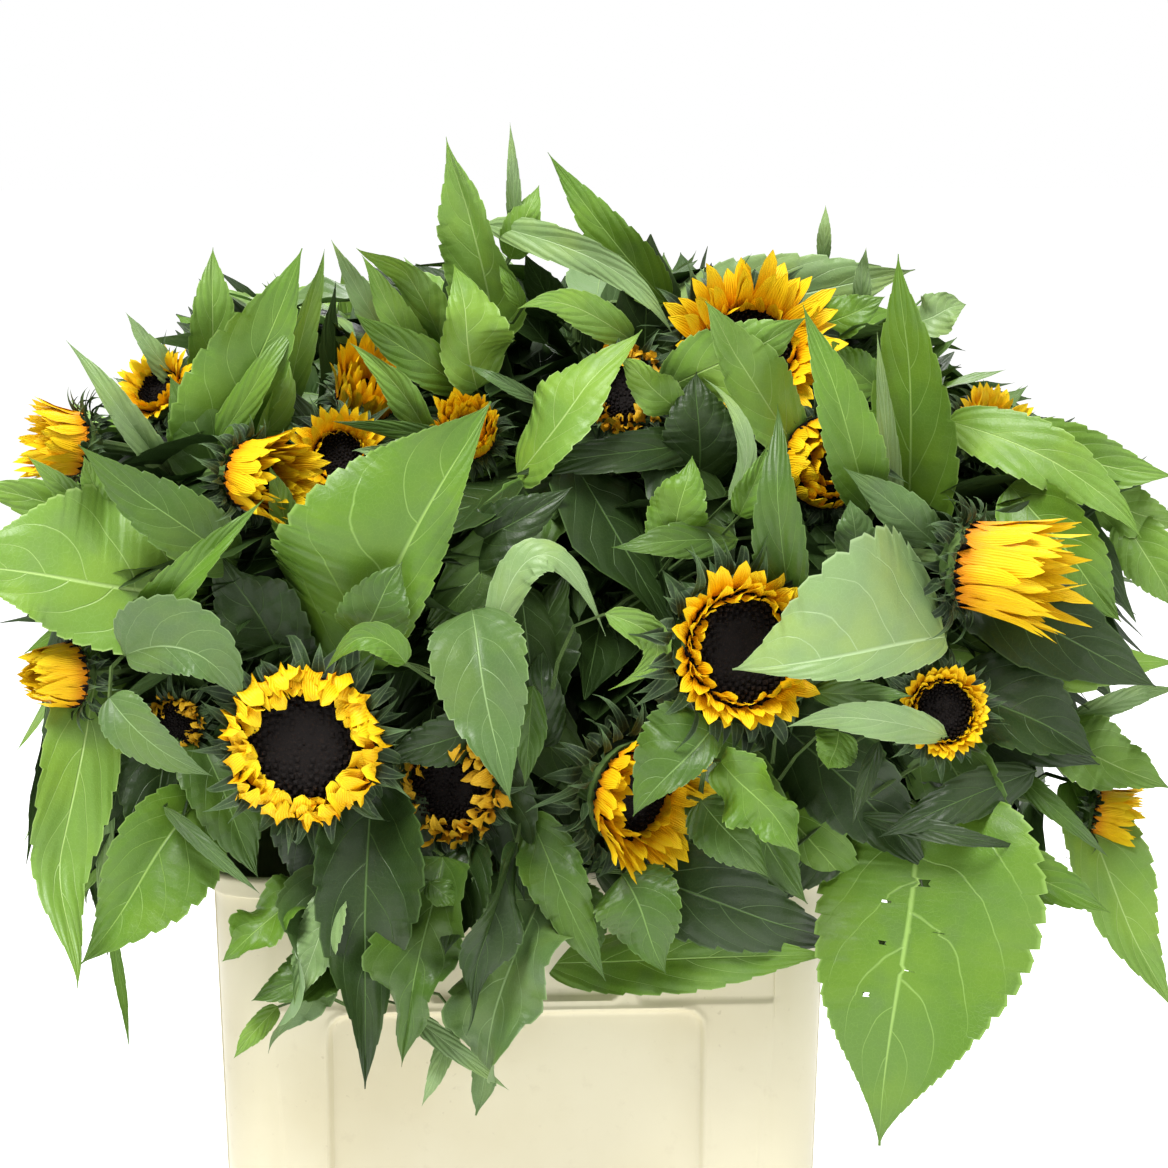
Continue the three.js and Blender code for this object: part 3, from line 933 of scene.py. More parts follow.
@dataclass
class Bucket:
    """The moulded bucket, as one skin: underside, ribbed outer wall, rolled lip and plain inside.

    The plan is a rounded rectangle: each point of the wall is a corner's or a side's base point
    plus an outward direction times a radius, and the radius shrinks from the rim to the base.
    """

    corner: float = 35.0
    taper: float = 12.0
    wall: float = 6.5
    lip: float = 3.0
    lip_drop: float = 13.0
    last_ring: float = 0.02
    front: tuple[Recess, ...] = (
        Recess(-118, 110, 45, 311, 12, 4.0, bead=1.2),
        Recess(-58, 58, 321, 369, 6, 4.0, bead=0.6),
        Recess(70, 157, 317, 371, 6, 1.8),
        Recess(-157, -70, 317, 371, 6, 1.8),
    )
    side: tuple[Recess, ...] = (
        Recess(-82, 82, 45, 311, 12, 4.0, bead=1.2),
        Recess(-82, 82, 321, 371, 8, 1.8),
    )

    def __post_init__(self) -> None:
        """Takes the bucket's size from its node in the frame."""
        low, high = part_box("bucket")
        self.height = high.z / MM
        self.half_x = high.x / MM - self.lip
        self.half_y = high.y / MM - self.lip

    def plan(self) -> tuple[Array, Array, Array, Array]:
        """Works out the plan, side by side and corner by corner.

        Returns:
            For each place round the plan: its base point, its outward direction, how far it is
            along its side, and its kind, which is 0 on a long side, 1 on a short one, 2 at a corner.
        """
        run_x, run_y = self.half_x - self.corner, self.half_y - self.corner
        lines = np.array([-161, -148, -118, -110, -70, -58, 58, 70, 110, 118, 148, 157])
        near_lines = [lines + step for step in (-3, -1.5, 0, 1.5, 3)]
        long_side = np.unique(np.concatenate([np.arange(-run_x, run_x, 4.0), *near_lines]))
        long_side = long_side[np.abs(long_side) < run_x]
        short_side = np.arange(-run_y, run_y + 0.1, run_y / 18.0)
        arc = np.radians(np.linspace(0.0, 90.0, 11))
        base, out, along, which = [], [], [], []
        for turn in range(4):
            angle = math.radians(-90.0 + 90.0 * turn)
            facing = np.array([math.cos(angle), math.sin(angle)])
            sideways = np.array([-facing[1], facing[0]])
            is_long = turn % 2 == 0
            stations = long_side if is_long else short_side
            reach = run_y if is_long else run_x
            end = run_x if is_long else run_y
            base.append(facing * reach + sideways * stations[:, None])
            out.append(np.repeat(facing[None], len(stations), 0))
            along.append(stations * (1.0 if turn < 2 else -1.0))
            which.append(np.full(len(stations), 0 if is_long else 1))
            base.append(np.repeat((facing * reach + sideways * end)[None], len(arc), 0))
            out.append(np.cos(arc)[:, None] * facing + np.sin(arc)[:, None] * sideways)
            along.append(np.full(len(arc), 500.0))
            which.append(np.full(len(arc), 2))
        return np.concatenate(base), np.concatenate(out), np.concatenate(along), np.concatenate(which)

    def section(self) -> tuple[Array, Array, Array]:
        """Works out the wall's section, from the underside's middle round to the inside's.

        Returns:
            For each place: its distance from a corner's centre, its height, and the share of the
            recesses' relief that shows there.
        """
        edges = np.array([45, 311, 319, 370])
        near_edges = [edges + step for step in (-4.5, -3, -1.5, 0, 1.5, 3, 4.5)]
        even = np.arange(8.0, self.height - self.lip_drop - 3.0, 5.5)
        heights = np.unique(np.concatenate([even, *near_edges]))
        radius = self.corner - self.taper * (1.0 - heights / self.height)
        foot = self.corner - self.taper
        rim = self.corner
        top = self.height
        drop = self.lip_drop
        turn = np.radians(np.linspace(-60.0, 180.0, 9))
        roll_r = rim - 0.4 + (self.lip + 0.4) * np.cos(turn) * np.where(turn > math.pi / 2, 0.9, 1.0)
        roll_z = top - 3.4 + 3.4 * np.sin(turn)
        inner = np.linspace(top - 6.0, 9.0, 16)
        inner_r = self.corner - self.taper * (1.0 - inner / top) - self.wall
        radii = np.concatenate([
            [-22.0, foot - 10.0, foot - 5.0, foot - 1.2, foot - 0.2],
            radius,
            [rim - 0.6, rim + 0.6, rim + self.lip - 0.3, rim + self.lip],
            roll_r[1:],
            inner_r,
            [foot - self.wall - 6.0, -22.0],
        ])
        rises = np.concatenate([
            [0.0, 0.0, 0.0, 1.2, 5.0],
            heights,
            [top - drop - 0.8, top - drop, top - drop + 0.8, top - drop + 2.4],
            roll_z[1:],
            inner,
            [5.0, 5.0],
        ])
        shows = np.concatenate([np.zeros(5), np.ones(len(heights)), np.zeros(len(rises) - 5 - len(heights))])
        return radii, rises, shows

    def build(self) -> bpy.types.Object:
        """Builds the bucket and lets it stand for its node.

        Returns:
            The bucket, one closed skin.
        """
        base, out, along, which = self.plan()
        radii, rises, shows = self.section()
        up = np.repeat(rises[:, None], len(along), 1)
        across = np.repeat(along[None], len(rises), 0)
        long_relief = sum(r.relief(across, up) for r in self.front)
        slant = 163.0 - 0.09 * (self.height - up)
        long_relief = long_relief + 0.9 * smooth(np.abs(across) - slant, -1.4, 1.4)
        short_relief = sum(r.relief(across, up) for r in self.side)
        relief = np.where(which == 0, long_relief, np.where(which == 1, short_relief, 0.0)) * shows[:, None]
        relief = np.where(which[None] == 2, 0.9 * shows[:, None] * smooth(up, 0.0, 30.0), relief)
        spread = (radii[:, None] - relief)[..., None]
        flat = base[None] + out[None] * spread
        points = np.concatenate([flat, up[..., None]], 2) * MM
        middle = np.array([0.0, 0.0, 1.0])
        ends = []
        for ring in (points[:1], points[-1:]):
            centre = middle * ring[..., 2:]
            ends.append(centre + (ring - centre) * self.last_ring)
        points = np.concatenate([ends[0], points, ends[1]])
        batch = Batch()
        quads, uvs = grid_quads(len(points), len(along), closed=True)
        batch.add(points.reshape(-1, 3), quads[:, ::-1] if self.inward(points) else quads, uvs)
        piece = batch.build("bucket_moulding", [plastic_material()], crease=40.0)
        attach(piece, BODY)
        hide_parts("bucket")
        return piece

    @staticmethod
    def inward(points: Array) -> bool:
        """Whether the grid's faces would point inwards on the outer wall.

        Args:
            points: the skin's grid of points.

        Returns:
            True when the faces have to be turned round.
        """
        row = len(points) // 4
        a, b, c = points[row, 0], points[row, 1], points[row + 1, 0]
        return bool(np.cross(b - a, c - a)[1] > 0.0)


# ---- Flower heads -----------------------------------------------------------------------------


class Opening(Enum):
    """How far a flower head has opened."""

    CURLED = "short petals curled back over the disc"
    CROWN = "a round crown of short petals"
    CUPPED = "long petals that stand up round the disc"
    OPEN = "petals spread wide"
    BRUSH = "petals still held forward"
    SHUT = "petals closed over the disc"
    AGED = "a ring of browned, curled petals"


@dataclass(frozen=True)
class Whorl:
    """One ring of petals or bracts; lengths are shares of the head's radius, angles in degrees.

    A blade leaves the head at a lean above the rim's plane and its lean changes evenly to the tip.
    """

    count: int
    start: float
    depth: float
    length: float
    width: float
    lean: tuple[float, float]
    wild: float = 10.0
    uneven: float = 0.12
    held: Carriage = Carriage(fold=16.0, cup=0.2, ruffle=0.06, thickness=0.35)


WRINKLED = Carriage(fold=12.0, cup=0.35, ruffle=0.50, waves=1.6, thickness=0.35)
TROUGH = Carriage(fold=28.0, cup=0.25, ruffle=0.14, waves=1.5, thickness=0.35)
WHORLS: dict[Opening, tuple[Whorl, ...]] = {
    Opening.CURLED: (
        Whorl(32, 0.87, 0.00, 0.48, 0.27, (0, 200), 20, 0.16, WRINKLED),
        Whorl(30, 0.84, 0.02, 0.42, 0.25, (40, 205), 26, 0.2, WRINKLED),
        Whorl(24, 0.80, 0.04, 0.30, 0.22, (70, 175), 28, 0.28, WRINKLED),
    ),
    Opening.CROWN: (
        Whorl(34, 0.74, 0.00, 0.44, 0.27, (72, 34), 11, 0.14, TROUGH),
        Whorl(34, 0.71, 0.01, 0.41, 0.25, (84, 62), 11, 0.16, TROUGH),
        Whorl(30, 0.68, 0.02, 0.33, 0.22, (94, 98), 14, 0.2, TROUGH),
    ),
    Opening.CUPPED: (
        Whorl(34, 0.74, 0.00, 0.74, 0.28, (70, 58), 9, 0.12, TROUGH),
        Whorl(30, 0.68, 0.03, 0.64, 0.25, (84, 74), 10, 0.14, TROUGH),
        Whorl(24, 0.62, 0.06, 0.38, 0.20, (94, 104), 14, 0.18, TROUGH),
    ),
    Opening.OPEN: (
        Whorl(32, 0.62, 0.0, 0.74, 0.29, (62, 28), 9, 0.12, TROUGH),
        Whorl(30, 0.60, 0.04, 0.66, 0.26, (78, 54), 10, 0.14, TROUGH),
        Whorl(24, 0.57, 0.06, 0.40, 0.21, (90, 92), 13, 0.18, TROUGH),
    ),
    Opening.BRUSH: (
        Whorl(28, 0.86, 0.0, 0.98, 0.42, (90, 76), 7, 0.12, TROUGH),
        Whorl(26, 0.74, 0.03, 0.92, 0.38, (93, 82), 8, 0.14, TROUGH),
        Whorl(20, 0.58, 0.05, 0.84, 0.34, (94, 90), 9, 0.16, TROUGH),
    ),
    Opening.SHUT: (
        Whorl(26, 0.84, 0.0, 1.0, 0.38, (94, 114), 9, 0.12, TROUGH),
        Whorl(22, 0.64, 0.05, 0.95, 0.34, (96, 110), 9, 0.14, TROUGH),
        Whorl(12, 0.4, 0.1, 0.85, 0.30, (98, 100), 10, 0.15, TROUGH),
    ),
    Opening.AGED: (
        Whorl(26, 0.78, 0.0, 0.54, 0.22, (44, 160), 28, 0.25, WRINKLED),
        Whorl(22, 0.84, 0.0, 0.40, 0.20, (20, 100), 36, 0.3, WRINKLED),
        Whorl(14, 0.72, 0.04, 0.34, 0.18, (80, 160), 28, 0.3, WRINKLED),
    ),
}
BROAD_BRACT = Carriage(fold=22.0, cup=0.1, ruffle=0.22, waves=1.1, thickness=0.5)
BRACT_WHORLS = (
    Whorl(22, 0.90, -0.05, 0.54, 0.20, (66, -40), 38, 0.25, BROAD_BRACT),
    Whorl(22, 0.86, -0.18, 0.64, 0.23, (42, -80), 42, 0.28, BROAD_BRACT),
    Whorl(18, 0.74, -0.34, 0.66, 0.26, (20, -100), 46, 0.3, BROAD_BRACT),
)
LEAST_BRACT_RADIUS = 0.027
GOLDEN_ANGLE = math.radians(137.508)
OPENINGS = {
    "bloom_front_left": Opening.CURLED,
    "bloom_centre_right": Opening.CROWN,
    "bloom_right_side": Opening.BRUSH,
    "bloom_right_low": Opening.CROWN,
    "bloom_low_left": Opening.AGED,
    "bloom_low_middle": Opening.CUPPED,
    "bloom_left_side": Opening.SHUT,
    "bloom_top_right": Opening.OPEN,
    "bloom_upper_right": Opening.OPEN,
    "bloom_upper_left": Opening.BRUSH,
    "bloom_upper_left_inner": Opening.OPEN,
    "bloom_far_left": Opening.BRUSH,
    "bloom_left_shoulder": Opening.OPEN,
    "bloom_top_left": Opening.BRUSH,
    "bloom_middle_left": Opening.BRUSH,
    "bloom_upper_middle": Opening.SHUT,
    "bloom_left_low": Opening.AGED,
    "bloom_right_lowest": Opening.BRUSH,
    "bloom_middle_top": Opening.AGED,
    "bloom_back_1_1": Opening.CROWN,
    "bloom_back_1_2": Opening.OPEN,
    "bloom_back_1_3": Opening.CURLED,
    "bloom_back_2_1": Opening.OPEN,
    "bloom_back_2_2": Opening.CROWN,
    "bloom_back_2_3": Opening.OPEN,
}


@dataclass
class Bloom:
    """A flower head: where it sits, which way it faces, and its size, read from its node.

    The node is turned on an axis through rings of points. The axis is the direction in which the
    spread of the points differs from the other two, and the third ring is the petals' foot.
    """

    name: str
    centre: Array
    axis: Array
    radius: float
    reach: float
    opening: Opening

    @classmethod
    def from_node(cls, name: str) -> "Bloom":
        """Reads a bloom from the frame's node of that name.

        Args:
            name: the node's name.

        Returns:
            The bloom.
        """
        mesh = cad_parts[name].data
        points = np.empty(len(mesh.vertices) * 3, np.float32)
        mesh.vertices.foreach_get("co", points)
        points = np.unique(np.round(points.reshape(-1, 3).astype(float), 6), axis=0)
        spreads, directions = np.linalg.eigh(np.cov((points - points.mean(0)).T))
        odd = 0 if spreads[1] - spreads[0] > spreads[2] - spreads[1] else 2
        axis = directions[:, odd]
        along = (points - points.mean(0)) @ axis
        away = np.linalg.norm(points - points.mean(0) - along[:, None] * axis, axis=1)
        ends = [away[np.abs(along - end) < 2e-4].max() for end in (along.min(), along.max())]
        if ends[0] > ends[1]:
            axis, along = -axis, -along
        levels = np.unique(np.round(along, 4))
        merged = levels[np.insert(np.diff(levels) > 5e-4, 0, True)]
        foot = merged[2]
        radius = away[np.abs(along - foot) < 6e-4].max()
        centre = points.mean(0) + axis * foot
        opening = OPENINGS[name]
        return cls(name, centre, axis, float(radius), float(merged[-1] - foot), opening)

    def basis(self) -> tuple[Array, Array]:
        """Two directions across the head, square to each other and to its axis."""
        first = unit(np.cross(UP + 0.01 * self.axis, self.axis))
        return first, np.cross(self.axis, first)

    def add_whorl(
        self,
        batch: Batch,
        whorl: Whorl,
        outline: Outline,
        slot: int,
        rng: np.random.Generator,
        stretch: float = 1.0,
    ) -> None:
        """Adds one ring of blades, each with its own small differences.

        Args:
            batch: the surfaces that they join.
            whorl: the ring.
            outline: its blades' outline.
            slot: their material slot.
            rng: the source of their differences.
            stretch: what their lengths are multiplied by.
        """
        first, second = self.basis()
        t = outline.stations()
        for k in range(whorl.count):
            around = 2.0 * math.pi * (k + rng.uniform(-0.32, 0.32)) / whorl.count
            out = math.cos(around) * first + math.sin(around) * second
            lean = np.radians(np.array(whorl.lean) + rng.normal(0.0, whorl.wild, 2) * np.array([0.4, 1.0]))
            angle = lean[0] + (lean[1] - lean[0]) * t
            length = whorl.length * self.radius * stretch * (1.0 + rng.normal(0.0, whorl.uneven))
            step = length * np.diff(t, prepend=0.0)[:, None]
            sideways = np.cross(self.axis, out) * rng.normal(0.0, 0.06 + 0.006 * whorl.wild)
            run = np.cos(angle)[:, None] * out + np.sin(angle)[:, None] * self.axis + sideways
            spine = self.centre + self.axis * (whorl.depth * self.radius) + out * (whorl.start * self.radius)
            spine = spine + np.cumsum(run * step, axis=0)
            face = -np.sin(angle)[:, None] * out + np.cos(angle)[:, None] * self.axis
            held = Carriage(
                fold=whorl.held.fold,
                cup=whorl.held.cup,
                ruffle=whorl.held.ruffle * rng.uniform(0.5, 1.5),
                waves=whorl.held.waves,
                phase=rng.uniform(0.0, 2.0 * math.pi),
                twist=rng.normal(0.0, 10.0 + 1.3 * whorl.wild),
                thickness=whorl.held.thickness,
            )
            width = whorl.width * self.radius * rng.uniform(0.85, 1.15)
            add_blade(batch, spine, face, t, width, outline, held, slot)

    def add_petals(self, batch: Batch, rng: np.random.Generator) -> None:
        """Adds the head's petals; a brush is as long as the space that the frame gives it.

        Args:
            batch: the surfaces that they join.
            rng: the source of their differences.
        """
        long_kinds = (Opening.BRUSH, Opening.SHUT)
        stretch = self.reach / self.radius if self.opening in long_kinds else 1.0
        slot = 1 if self.opening is Opening.AGED else 0
        outline = BLUNT_PETAL if self.opening in (Opening.CURLED, Opening.AGED) else PETAL
        for whorl in WHORLS[self.opening]:
            self.add_whorl(batch, whorl, outline, slot, rng, stretch)

    def add_bracts(self, batch: Batch, rng: np.random.Generator) -> None:
        """Adds the green bracts behind the petals, and the cup that carries them.

        Args:
            batch: the surfaces that they join.
            rng: the source of their differences.
        """
        stretch = max(1.0, LEAST_BRACT_RADIUS / self.radius)
        for whorl in BRACT_WHORLS:
            self.add_whorl(batch, whorl, BRACT, 0, rng, stretch)
        share = np.linspace(0.0, 1.0, 9)
        radii = self.radius * (0.17 + 0.60 * np.sin(0.5 * math.pi * share) ** 1.2)
        path = self.centre + self.axis * self.radius * (-0.60 + 0.58 * share[:, None])
        add_tube(batch, path, radii, 1, 20)

    def disc_radius(self) -> float:
        """The disc's radius, just inside the petals' foot."""
        return self.radius * (WHORLS[self.opening][0].start + 0.03)

    def add_disc(self, batch: Batch, rng: np.random.Generator) -> None:
        """Adds the disc: a shallow dish, and florets on a sunflower's spiral.

        Floret n stands at n times the golden angle and at the square root of n from the middle;
        the outer ones stand tall and brown, and the middle ones are low and nearly black.

        Args:
            batch: the surfaces that it joins.
            rng: the source of the florets' differences.
        """
        first, second = self.basis()
        limit = self.disc_radius()
        share = np.linspace(0.0, 1.0, 8)
        path = self.centre + self.axis * (self.radius * (0.02 - 0.05 * (1.0 - share[:, None])))
        add_tube(batch, path[::-1] + self.axis * 0.001, limit * share[::-1] * 0.98 + 0.0004, 0, 20)
        count = int(90 + 190 * min(1.0, limit / 0.032))
        n = np.arange(count) + 0.5
        away = np.sqrt(n / count)
        around = n * GOLDEN_ANGLE
        tall = (0.0016 + 0.0036 * smooth(away, 0.35, 0.9)) * rng.uniform(0.6, 1.4, count)
        wide = 0.5 * limit * math.sqrt(math.pi / count) * 1.05
        out = np.cos(around)[:, None] * first + np.sin(around)[:, None] * second
        foot = self.centre + out * (limit * 0.97 * away)[:, None] + self.axis * 0.0008
        lean = self.axis + out * (-0.35 * smooth(away, 0.6, 1.0))[:, None]
        ring = np.radians([45.0, 135.0, 225.0, 315.0])
        corners = np.cos(ring)[None, :, None] * first + np.sin(ring)[None, :, None] * second
        low = foot[:, None] + corners * (wide * 0.5) - self.axis * 0.001
        middle = foot[:, None] + corners * wide + lean[:, None] * (tall * 0.55)[:, None, None]
        high = foot[:, None] + corners * (wide * 0.35) + lean[:, None] * tall[:, None, None]
        points = np.stack([low, middle, high], 1).reshape(count, 12, 3)
        band, band_uv = grid_quads(3, 4, closed=True)
        quads = np.concatenate([band, [[3, 2, 1, 0], [8, 9, 10, 11]]])
        uvs = np.concatenate([band_uv, np.zeros((2, 4, 2))])
        every = (quads[None] + 12 * np.arange(count)[:, None, None]).reshape(-1, 4)
        batch.add(points.reshape(-1, 3), every, np.tile(uvs, (count, 1, 1)), 0)
        outer = np.repeat(away > 0.66, len(quads))
        batch.slots[-1] = outer.astype(int)

    def keeps_clear(self, points: Array, reach: float = 0.075) -> bool:
        """Whether points stay out of the head and out of the open space before its face.

        Args:
            points: the points, (n, 3), in metres.
            reach: how deep the open space before the petals' tips is, in metres.

        Returns:
            True when no point is inside.
        """
        away = points - self.centre
        along = away @ self.axis
        off = np.linalg.norm(away - along[:, None] * self.axis, axis=1)
        wide = self.radius * 0.95 + 0.25 * np.maximum(along, 0.0)
        return not bool(np.any((along > -0.4 * self.radius) & (along < self.reach + reach) & (off < wide)))


@dataclass
class FlowerHeads:
    """All the flower heads, joined by kind: petals, bracts with their cups, and discs."""

    blooms: list[Bloom] = field(default_factory=list)

    def __post_init__(self) -> None:
        """Reads every bloom from the frame."""
        self.blooms = [Bloom.from_node(name) for name in sorted(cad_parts) if name.startswith("bloom")]

    def build(self) -> list[bpy.types.Object]:
        """Builds the three joined pieces, the first of which stands for the bloom nodes.

        Returns:
            The petals, the bracts with their cups, and the discs.
        """
        rng = np.random.default_rng(SEED)
        petals, bracts, discs = Batch(), Batch(), Batch()
        for bloom in self.blooms:
            bloom.add_petals(petals, rng)
            bloom.add_bracts(bracts, rng)
            bloom.add_disc(discs, rng)
        discs_dark = disc_material("disc_dark", linear(18, 14, 13), linear(34, 25, 20))
        discs_brown = disc_material("disc_brown", linear(24, 17, 13), linear(52, 35, 20))
        made = [
            petals.build("petals", [FRESH_PETAL.material(), AGED_PETAL.material()]),
            bracts.build("bracts", [bract_material(), stem_material()]),
            discs.build("discs", [discs_dark, discs_brown]),
        ]
        for piece in made:
            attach(piece, BODY)
        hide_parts(*[bloom.name for bloom in self.blooms])
        return made


# ---- Stems ------------------------------------------------------------------------------------


@dataclass
class Stems:
    """The cut stems: each rises from the bucket's floor, through its mouth, to its flower head."""

    heads: FlowerHeads
    middle: tuple[float, float] = (0.035, 0.0)
    floor: float = 0.0055
    mouth: float = 0.428
    foot_spread: tuple[float, float] = (0.30, 0.20)
    neck_spread: tuple[float, float] = (0.42, 0.28)
    necks: list[Array] = field(default_factory=list)

    def path(self, goal: Array, arrival: Array, steps: int = 26) -> Array:
        """A stem's path: straight to the bucket's mouth, then a curve that arrives at its goal.

        Args:
            goal: where it ends.
            arrival: the unit vector along which it arrives there.
            steps: how many points the curve has.

        Returns:
            The points of the path, in metres.
        """
        away = goal[:2] - np.array(self.middle)
        foot = np.array([*(away * self.foot_spread), self.floor])
        neck = np.array([*(away * self.neck_spread), self.mouth])
        self.necks.append(neck)
        rise = unit(neck - foot)
        reach = np.linalg.norm(goal - neck)
        controls = [neck, neck + rise * 0.45 * reach, goal - arrival * 0.4 * reach, goal]
        curve = bezier(controls, np.linspace(0.0, 1.0, steps))
        straight = foot + (neck - foot) * np.linspace(0.0, 1.0, 7)[:-1, None]
        return np.concatenate([straight, curve])

    def build(self) -> bpy.types.Object:
        """Builds the stems as one piece, which stands for the stem nodes.

        Returns:
            The stems.
        """
        batch = Batch()
        for bloom in self.heads.blooms:
            goal = bloom.centre - bloom.axis * 0.58 * bloom.radius
            path = self.path(goal, bloom.axis)
            radii = np.linspace(7.4, 4.4, len(path)) * MM
            radii[-3:] = np.array([4.8, 5.6, 6.8]) * MM * min(1.0, bloom.radius / 0.035)
            add_tube(batch, path, radii, 0, 12, ribs=0.035)
        piece = batch.build("stems", [stem_material()], crease=70.0)
        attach(piece, BODY)
        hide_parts(*[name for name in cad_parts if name.startswith("stem")])
        return piece


# ---- The leaves that show in front ------------------------------------------------------------


GUIDE_HEIGHTS = (250.0, 400.0, 450.0, 550.0, 600.0, 650.0, 700.0, 750.0, 800.0)
FRONT_GUIDE = (50.0, 65.0, 75.0, 85.0, 60.0, 30.0, -20.0, -60.0, -80.0)
FILLING_GUIDE = (20.0, 30.0, 40.0, 50.0, 30.0, 0.0, -50.0, -90.0, -110.0)


def forward_guide(height: float) -> float:
    """How far forward of the sheet the crown's front stands at a height, in millimetres."""
    return float(np.interp(height, GUIDE_HEIGHTS, FRONT_GUIDE))


@dataclass(frozen=True)
class Leaf:
    """One leaf laid out on the front elevation, in millimetres and degrees.

    What shows of its midrib runs from (x0, z0) to (x1, z1), and a hidden share more lies behind
    its neighbours. It bows to the left of its run by a share of its length, and its tip stands
    further forward than its base by the lean. Roll turns it about its midrib. Holes are eaten
    through its blade at faces told by row and column.
    """

    x0: float
    z0: float
    x1: float
    z1: float
    width: float
    green: Green
    forward: float | None = None
    bow: float = 0.0
    roll: float = 0.0
    lean: float = 0.0
    fold: float = 14.0
    cup: float = 0.12
    skew: float = 0.0
    ruffle: float = 0.15
    back: float = 0.12
    hidden: float = 0.36
    curl: float = 0.0
    holes: tuple[tuple[int, int], ...] = ()
    node: str = ""

    @property
    def kind(self) -> Outline:
        """The outline for its width: the broader the leaf, the finer its teeth.

        Returns:
            The outline.
        """
        if self.width < 34.0:
            return NARROW_LEAF
        return BIG_LEAF if self.width < 100.0 else GREAT_LEAF

    def spine(self, t: Array) -> Array:
        """The midrib: a Bezier curve whose base stands back and whose middle swells forward.

        Args:
            t: places from base to tip.

        Returns:
            A point for each place, in metres.
        """
        run = np.array([self.x1 - self.x0, self.z1 - self.z0])
        length = float(np.hypot(*run))
        left = np.array([-run[1], run[0]]) * (self.bow / 0.75)
        start = np.array([self.x0, self.z0])
        level = self.forward
        if level is None:
            level = forward_guide((self.z0 + self.z1) / 2.0)
        hidden = self.hidden if abs(self.bow) < 0.25 else 0.0
        sunk = self.back + 0.9 * hidden
        rises = [-sunk * length - self.lean / 2, 0.08 * length, 0.06 * length, self.lean / 2]
        depths = level + np.array(rises)
        flat = [start - run * hidden, start + run * 0.25 + left, start + run * 0.65 + left, start + run]
        return bezier([ELEVATION.place(x, z, depth) for (x, z), depth in zip(flat, depths)], t)

    def carried(self, rng: np.random.Generator) -> tuple[Array, Array, Carriage]:
        """How the leaf is carried, with the small differences that no two leaves share.

        The midrib wanders from side to side in a slow wave and hooks up or down towards its tip.

        Args:
            rng: the source of the differences.

        Returns:
            The midrib's points, what the blade faces, and its carriage.
        """
        t = self.kind.stations()
        spine = self.spine(t)
        along = spine[-1] - spine[0]
        free = 1.0 if self.roll == 0.0 else 0.2
        roll = math.radians(self.roll + free * rng.normal(0.0, 15.0))
        face = turned(ELEVATION.towards_eye(spine[len(spine) // 2]), unit(along), roll)
        wave = np.sin(rng.uniform(4.0, 7.0) * t + rng.uniform(0.0, 6.28))[:, None]
        wander = unit(np.cross(along, face)) * wave * (0.024 * self.width * MM)
        hook = face * (rng.normal(0.0, 0.10) * np.linalg.norm(along) * smooth(t, 0.55, 1.0))[:, None]
        held = Carriage(
            fold=self.fold + free * rng.uniform(-8.0, 14.0),
            cup=self.cup + rng.uniform(-0.1, 0.15),
            ruffle=self.ruffle * rng.uniform(0.6, 1.5),
            waves=rng.uniform(1.2, 2.6),
            phase=rng.uniform(0.0, 6.28),
            twist=rng.normal(0.0, 16.0),
            skew=self.skew,
            curl=self.curl,
        )
        return spine + wander + hook, face, held


BRIGHT, MID, DEEP_SHADE, BLUE, PALE_WITH_GLARE, SUN = Green
LIMP = {"fold": 24, "cup": 0.3, "ruffle": 0.5, "curl": 0.6}
REACHING = {"hidden": 0.22, "skew": -0.25, "fold": 8, "roll": -3}
MOTH_HOLES = ((24, 5), (25, 5), (31, 7), (38, 4), (43, 7), (44, 7), (50, 5), (58, 8), (59, 8))
EATEN = {"hidden": 0.04, "skew": 0.16, "roll": 2, "ruffle": 0.24, "holes": MOTH_HOLES}
